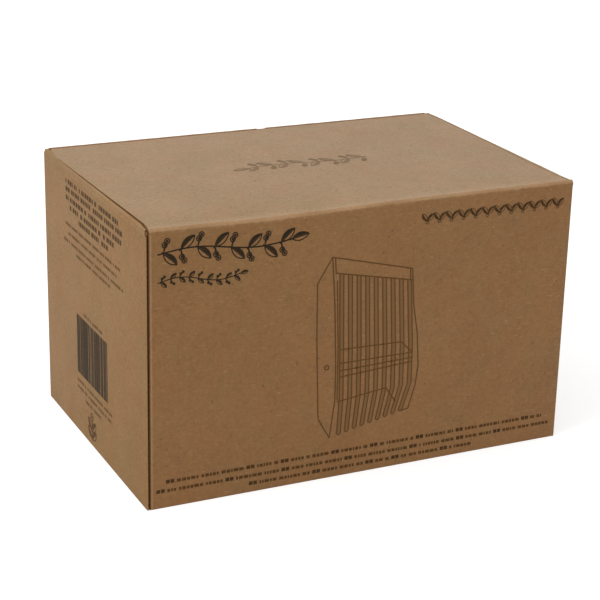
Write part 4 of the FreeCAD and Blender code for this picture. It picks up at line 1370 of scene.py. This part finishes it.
def joined_copy(name):
    """A CAD node's mesh with its loose triangles merged and its flat faces made whole, in metres."""
    bm = bmesh.new()
    bm.from_mesh(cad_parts[name].data)
    bmesh.ops.remove_doubles(bm, verts=bm.verts[:], dist=2e-6)
    bmesh.ops.dissolve_limit(bm, angle_limit=math.radians(0.5), verts=bm.verts[:], edges=bm.edges[:])
    return bm


def long_rims(bm, reach, turn=math.radians(35)):
    """The sharp edges that belong to a rim wider than reach, so that small holes stay crisp."""
    waiting = {e for e in bm.edges if len(e.link_faces) == 2 and e.calc_face_angle() > turn}
    found = []
    while waiting:
        group, front = [], [waiting.pop()]
        while front:
            edge = front.pop()
            group.append(edge)
            for vert in edge.verts:
                for other in vert.link_edges:
                    if other in waiting:
                        waiting.remove(other)
                        front.append(other)
        points = [v.co for e in group for v in e.verts]
        spans = [max(p[i] for p in points) - min(p[i] for p in points) for i in range(3)]
        if max(spans) > reach:
            found += group
    return found


def stand_in(name, bm, material, body, sharp):
    """Show a changed copy of a CAD node's mesh in place of the node."""
    obj = show(f"{name}_dressed", mesh_of(bm, f"{name}_shape"), [material], body, sharp)
    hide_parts(name)


def dressed(name, material, radius=0.0, reach=0.012, body="rake", segments=2):
    """A CAD node's shape with its long rims rounded and marked as worn, in place of the node."""
    bm = joined_copy(name)
    worn = bm.verts.layers.float.new("rub_and_highlight")
    if radius:
        made = round_edges(bm, long_rims(bm, reach), radius, segments, clamp=False)
        for vert in made["verts"]:
            if vert.is_valid and all(f in made["faces"] for f in vert.link_faces):
                vert[worn] = 1.0
    stand_in(name, bm, material, body, 40)


def fastener_set(name):
    """Screws, bolts or nuts of one kind, with a round driver's recess in each head."""
    bm = joined_copy(name)
    if name != "bracket_nuts":
        islands = {}
        for face in bm.faces:
            if len(face.edges) >= 12:
                centre = face.calc_center_median()
                islands[tuple(round(c, 4) for c in centre)] = face
        heads = [f for f in islands.values() if f.calc_area() > SMALLEST_HEAD]
        bmesh.ops.inset_individual(bm, faces=heads, thickness=DRIVER_RIM, depth=0.0)
        bmesh.ops.inset_individual(bm, faces=heads, thickness=DRIVER_WALL, depth=-DRIVER_DEPTH)
    stand_in(name, bm, "zinc_fastener", "rake", 30)


def rake_wood():
    radius = settings("rake").edge_radius
    for name, material in WOOD_PIECES.items():
        dressed(name, material, radius)


def rake_steel():
    for name, material in STEEL_PIECES.items():
        dressed(name, material, CAP_RADIUS if name == "axle_caps" else 0.0, 0.006)
    dressed("door", "galvanised_sheet", DOOR_RADIUS, 0.02, body="door")


def rake_handle():
    for name, material in HANDLE_PIECES.items():
        dressed(name, material, GRIP_RADIUS if name == "handle_grip" else STRAP_RADIUS, segments=3)


def rake_fasteners():
    for name in FASTENERS:
        fastener_set(name)


# Stage


def seen_directly(g):
    """1 for what the camera, a gloss or a glass looks at, 0 for what only lights the object."""
    path = g.node("LightPath").outputs
    return g.maths("MAXIMUM", g.maths("MAXIMUM", path["Is Camera Ray"], path["Is Glossy Ray"]),
                   path["Is Transmission Ray"])


def stand(name, data, matrix):
    """A camera or lamp at its place."""
    obj = bpy.data.objects.new(name, data)
    obj.matrix_world = matrix
    bpy.context.scene.collection.objects.link(obj)
    return obj


def studio():
    """Camera at the photograph's angle, a soft lamp above left, pale floor and white surroundings."""
    look = settings("studio")
    turn, tilt, roll = look.turn, look.tilt, look.roll
    back = Vector((math.sin(turn) * math.cos(tilt), -math.cos(turn) * math.cos(tilt), math.sin(tilt)))
    right = UP.cross(back).normalized()
    up = back.cross(right)
    right, up = (right * math.cos(roll) + up * math.sin(roll), up * math.cos(roll) - right * math.sin(roll))
    camera = bpy.data.cameras.new("camera")
    camera.lens, camera.clip_start, camera.clip_end = look.lens, 0.05, 20
    bpy.context.scene.camera = stand("camera", camera, Matrix.Translation(look.place)
                                     @ Matrix((right, up, back)).transposed().to_4x4())

    lamp = bpy.data.lights.new("key", "AREA")
    lamp.shape, lamp.size, lamp.energy = "DISK", look.key_size, look.key_power
    place = Vector(look.key_place)
    stand("key", lamp, Matrix.Translation(place)
          @ (place - LAMP_TARGET).to_track_quat("Z", "Y").to_matrix().to_4x4())

    white = rgba((1, 1, 1))
    world = bpy.data.worlds.new("studio")
    g = emptied(world)
    soft, bright = (g.node("Background", {"Color": white, "Strength": strength}).outputs[0]
                    for strength in (look.surroundings, 1.0))
    blend = g.node("MixShader", {0: seen_directly(g), 1: soft, 2: bright})
    g.node("OutputWorld", {"Surface": blend.outputs[0]})
    bpy.context.scene.world = world

    material = bpy.data.materials.new("studio_floor")
    g = emptied(material)
    matt = g.node("BsdfDiffuse", {"Color": rgba(look.floor)}).outputs[0]
    glow = g.node("Emission", {"Color": white, "Strength": g.times(seen_directly(g), look.glow)}).outputs[0]
    both = g.node("AddShader", {0: matt, 1: glow})
    g.node("OutputMaterial", {"Surface": both.outputs[0]})
    bm = bmesh.new()
    bmesh.ops.create_circle(bm, cap_ends=True, radius=look.floor_radius, segments=96)
    mesh = mesh_of(bm, "floor")
    mesh.materials.append(material)
    floor = bpy.data.objects.new("floor", mesh)
    bpy.context.scene.collection.objects.link(floor)
    bpy.context.scene.view_settings.view_transform = "Standard"


# Operators, panel and start


class CartonMaterials(bpy.types.Operator):
    """Make the paper, ink, wood and metal materials"""
    bl_idname = "carton.materials"
    bl_label = "Materials"

    def execute(self, context):
        make_materials()
        return {"FINISHED"}


class CartonLongWalls(bpy.types.Operator):
    """Front and back wall, each with its two ears"""
    bl_idname = "carton.long_walls"
    bl_label = "Long walls"

    def execute(self, context):
        for name in ("front", "back"):
            long_wall(name)
        return {"FINISHED"}


class CartonEndWalls(bpy.types.Operator):
    """The doubled end walls with their rolled top edges, and the base"""
    bl_idname = "carton.end_walls"
    bl_label = "End walls"

    def execute(self, context):
        for side in ("left", "right"):
            end_wall(side)
        bottom_panel()
        return {"FINISHED"}


class CartonLid(bpy.types.Operator):
    """The lid and its tuck flap"""
    bl_idname = "carton.lid"
    bl_label = "Lid"

    def execute(self, context):
        lid_panel()
        tuck_flap()
        return {"FINISHED"}


class CartonCreases(bpy.types.Operator):
    """The folds at the lid and at the tuck flap"""
    bl_idname = "carton.creases"
    bl_label = "Creases"

    def execute(self, context):
        lid_crease()
        tuck_crease()
        return {"FINISHED"}


class CartonFrontPrint(bpy.types.Operator):
    """The front's ornament, small print and line drawing"""
    bl_idname = "carton.front_print"
    bl_label = "Front print"

    def execute(self, context):
        front_branch()
        front_small_print()
        front_drawing()
        return {"FINISHED"}


class CartonLeftPrint(bpy.types.Operator):
    """The left end's small print and bars"""
    bl_idname = "carton.left_print"
    bl_label = "Left print"

    def execute(self, context):
        left_print()
        return {"FINISHED"}


class CartonLidPrint(bpy.types.Operator):
    """The lid's ornament"""
    bl_idname = "carton.lid_print"
    bl_label = "Lid print"

    def execute(self, context):
        lid_print()
        return {"FINISHED"}


class RakeWood(bpy.types.Operator):
    """The rake's plates, boards, rail and bar"""
    bl_idname = "carton.rake_wood"
    bl_label = "Rake wood"

    def execute(self, context):
        rake_wood()
        return {"FINISHED"}


class RakeSteel(bpy.types.Operator):
    """The rake's tines, axle, caps and door"""
    bl_idname = "carton.rake_steel"
    bl_label = "Rake steel"

    def execute(self, context):
        rake_steel()
        return {"FINISHED"}


class RakeHandle(bpy.types.Operator):
    """The rake's grip and its two straps"""
    bl_idname = "carton.rake_handle"
    bl_label = "Rake handle"

    def execute(self, context):
        rake_handle()
        return {"FINISHED"}


class RakeFasteners(bpy.types.Operator):
    """The rake's screws, bolts and nuts"""
    bl_idname = "carton.rake_fasteners"
    bl_label = "Rake fasteners"

    def execute(self, context):
        rake_fasteners()
        return {"FINISHED"}


class CartonStudio(bpy.types.Operator):
    """Camera, light and floor"""
    bl_idname = "carton.studio"
    bl_label = "Studio"

    def execute(self, context):
        studio()
        return {"FINISHED"}


OPERATORS = [CartonMaterials, CartonLongWalls, CartonEndWalls, CartonLid, CartonCreases,
             CartonFrontPrint, CartonLeftPrint, CartonLidPrint, RakeWood, RakeSteel, RakeHandle,
             RakeFasteners, CartonStudio]


class CartonPanel(bpy.types.Panel):
    """The builders in the order in which they run"""
    bl_idname = "VIEW3D_PT_carton"
    bl_label = "Boxed berry picking rake"
    bl_space_type = "VIEW_3D"
    bl_region_type = "UI"
    bl_category = "Carton"

    def draw(self, context):
        for cls in OPERATORS:
            self.layout.operator(cls.bl_idname)


def register():
    for group, cls in GROUPS.items():
        bpy.utils.register_class(cls)
        setattr(bpy.types.Scene, f"{group}_settings", bpy.props.PointerProperty(type=cls))
    for cls in OPERATORS + [CartonPanel]:
        bpy.utils.register_class(cls)


def unregister():
    for cls in reversed(OPERATORS + [CartonPanel]):
        bpy.utils.unregister_class(cls)
    for group, cls in GROUPS.items():
        delattr(bpy.types.Scene, f"{group}_settings")
        bpy.utils.unregister_class(cls)


def main():
    register()
    for cls in OPERATORS:
        getattr(bpy.ops.carton, cls.bl_idname.split(".")[1])()


if __name__ == "__main__":
    main()
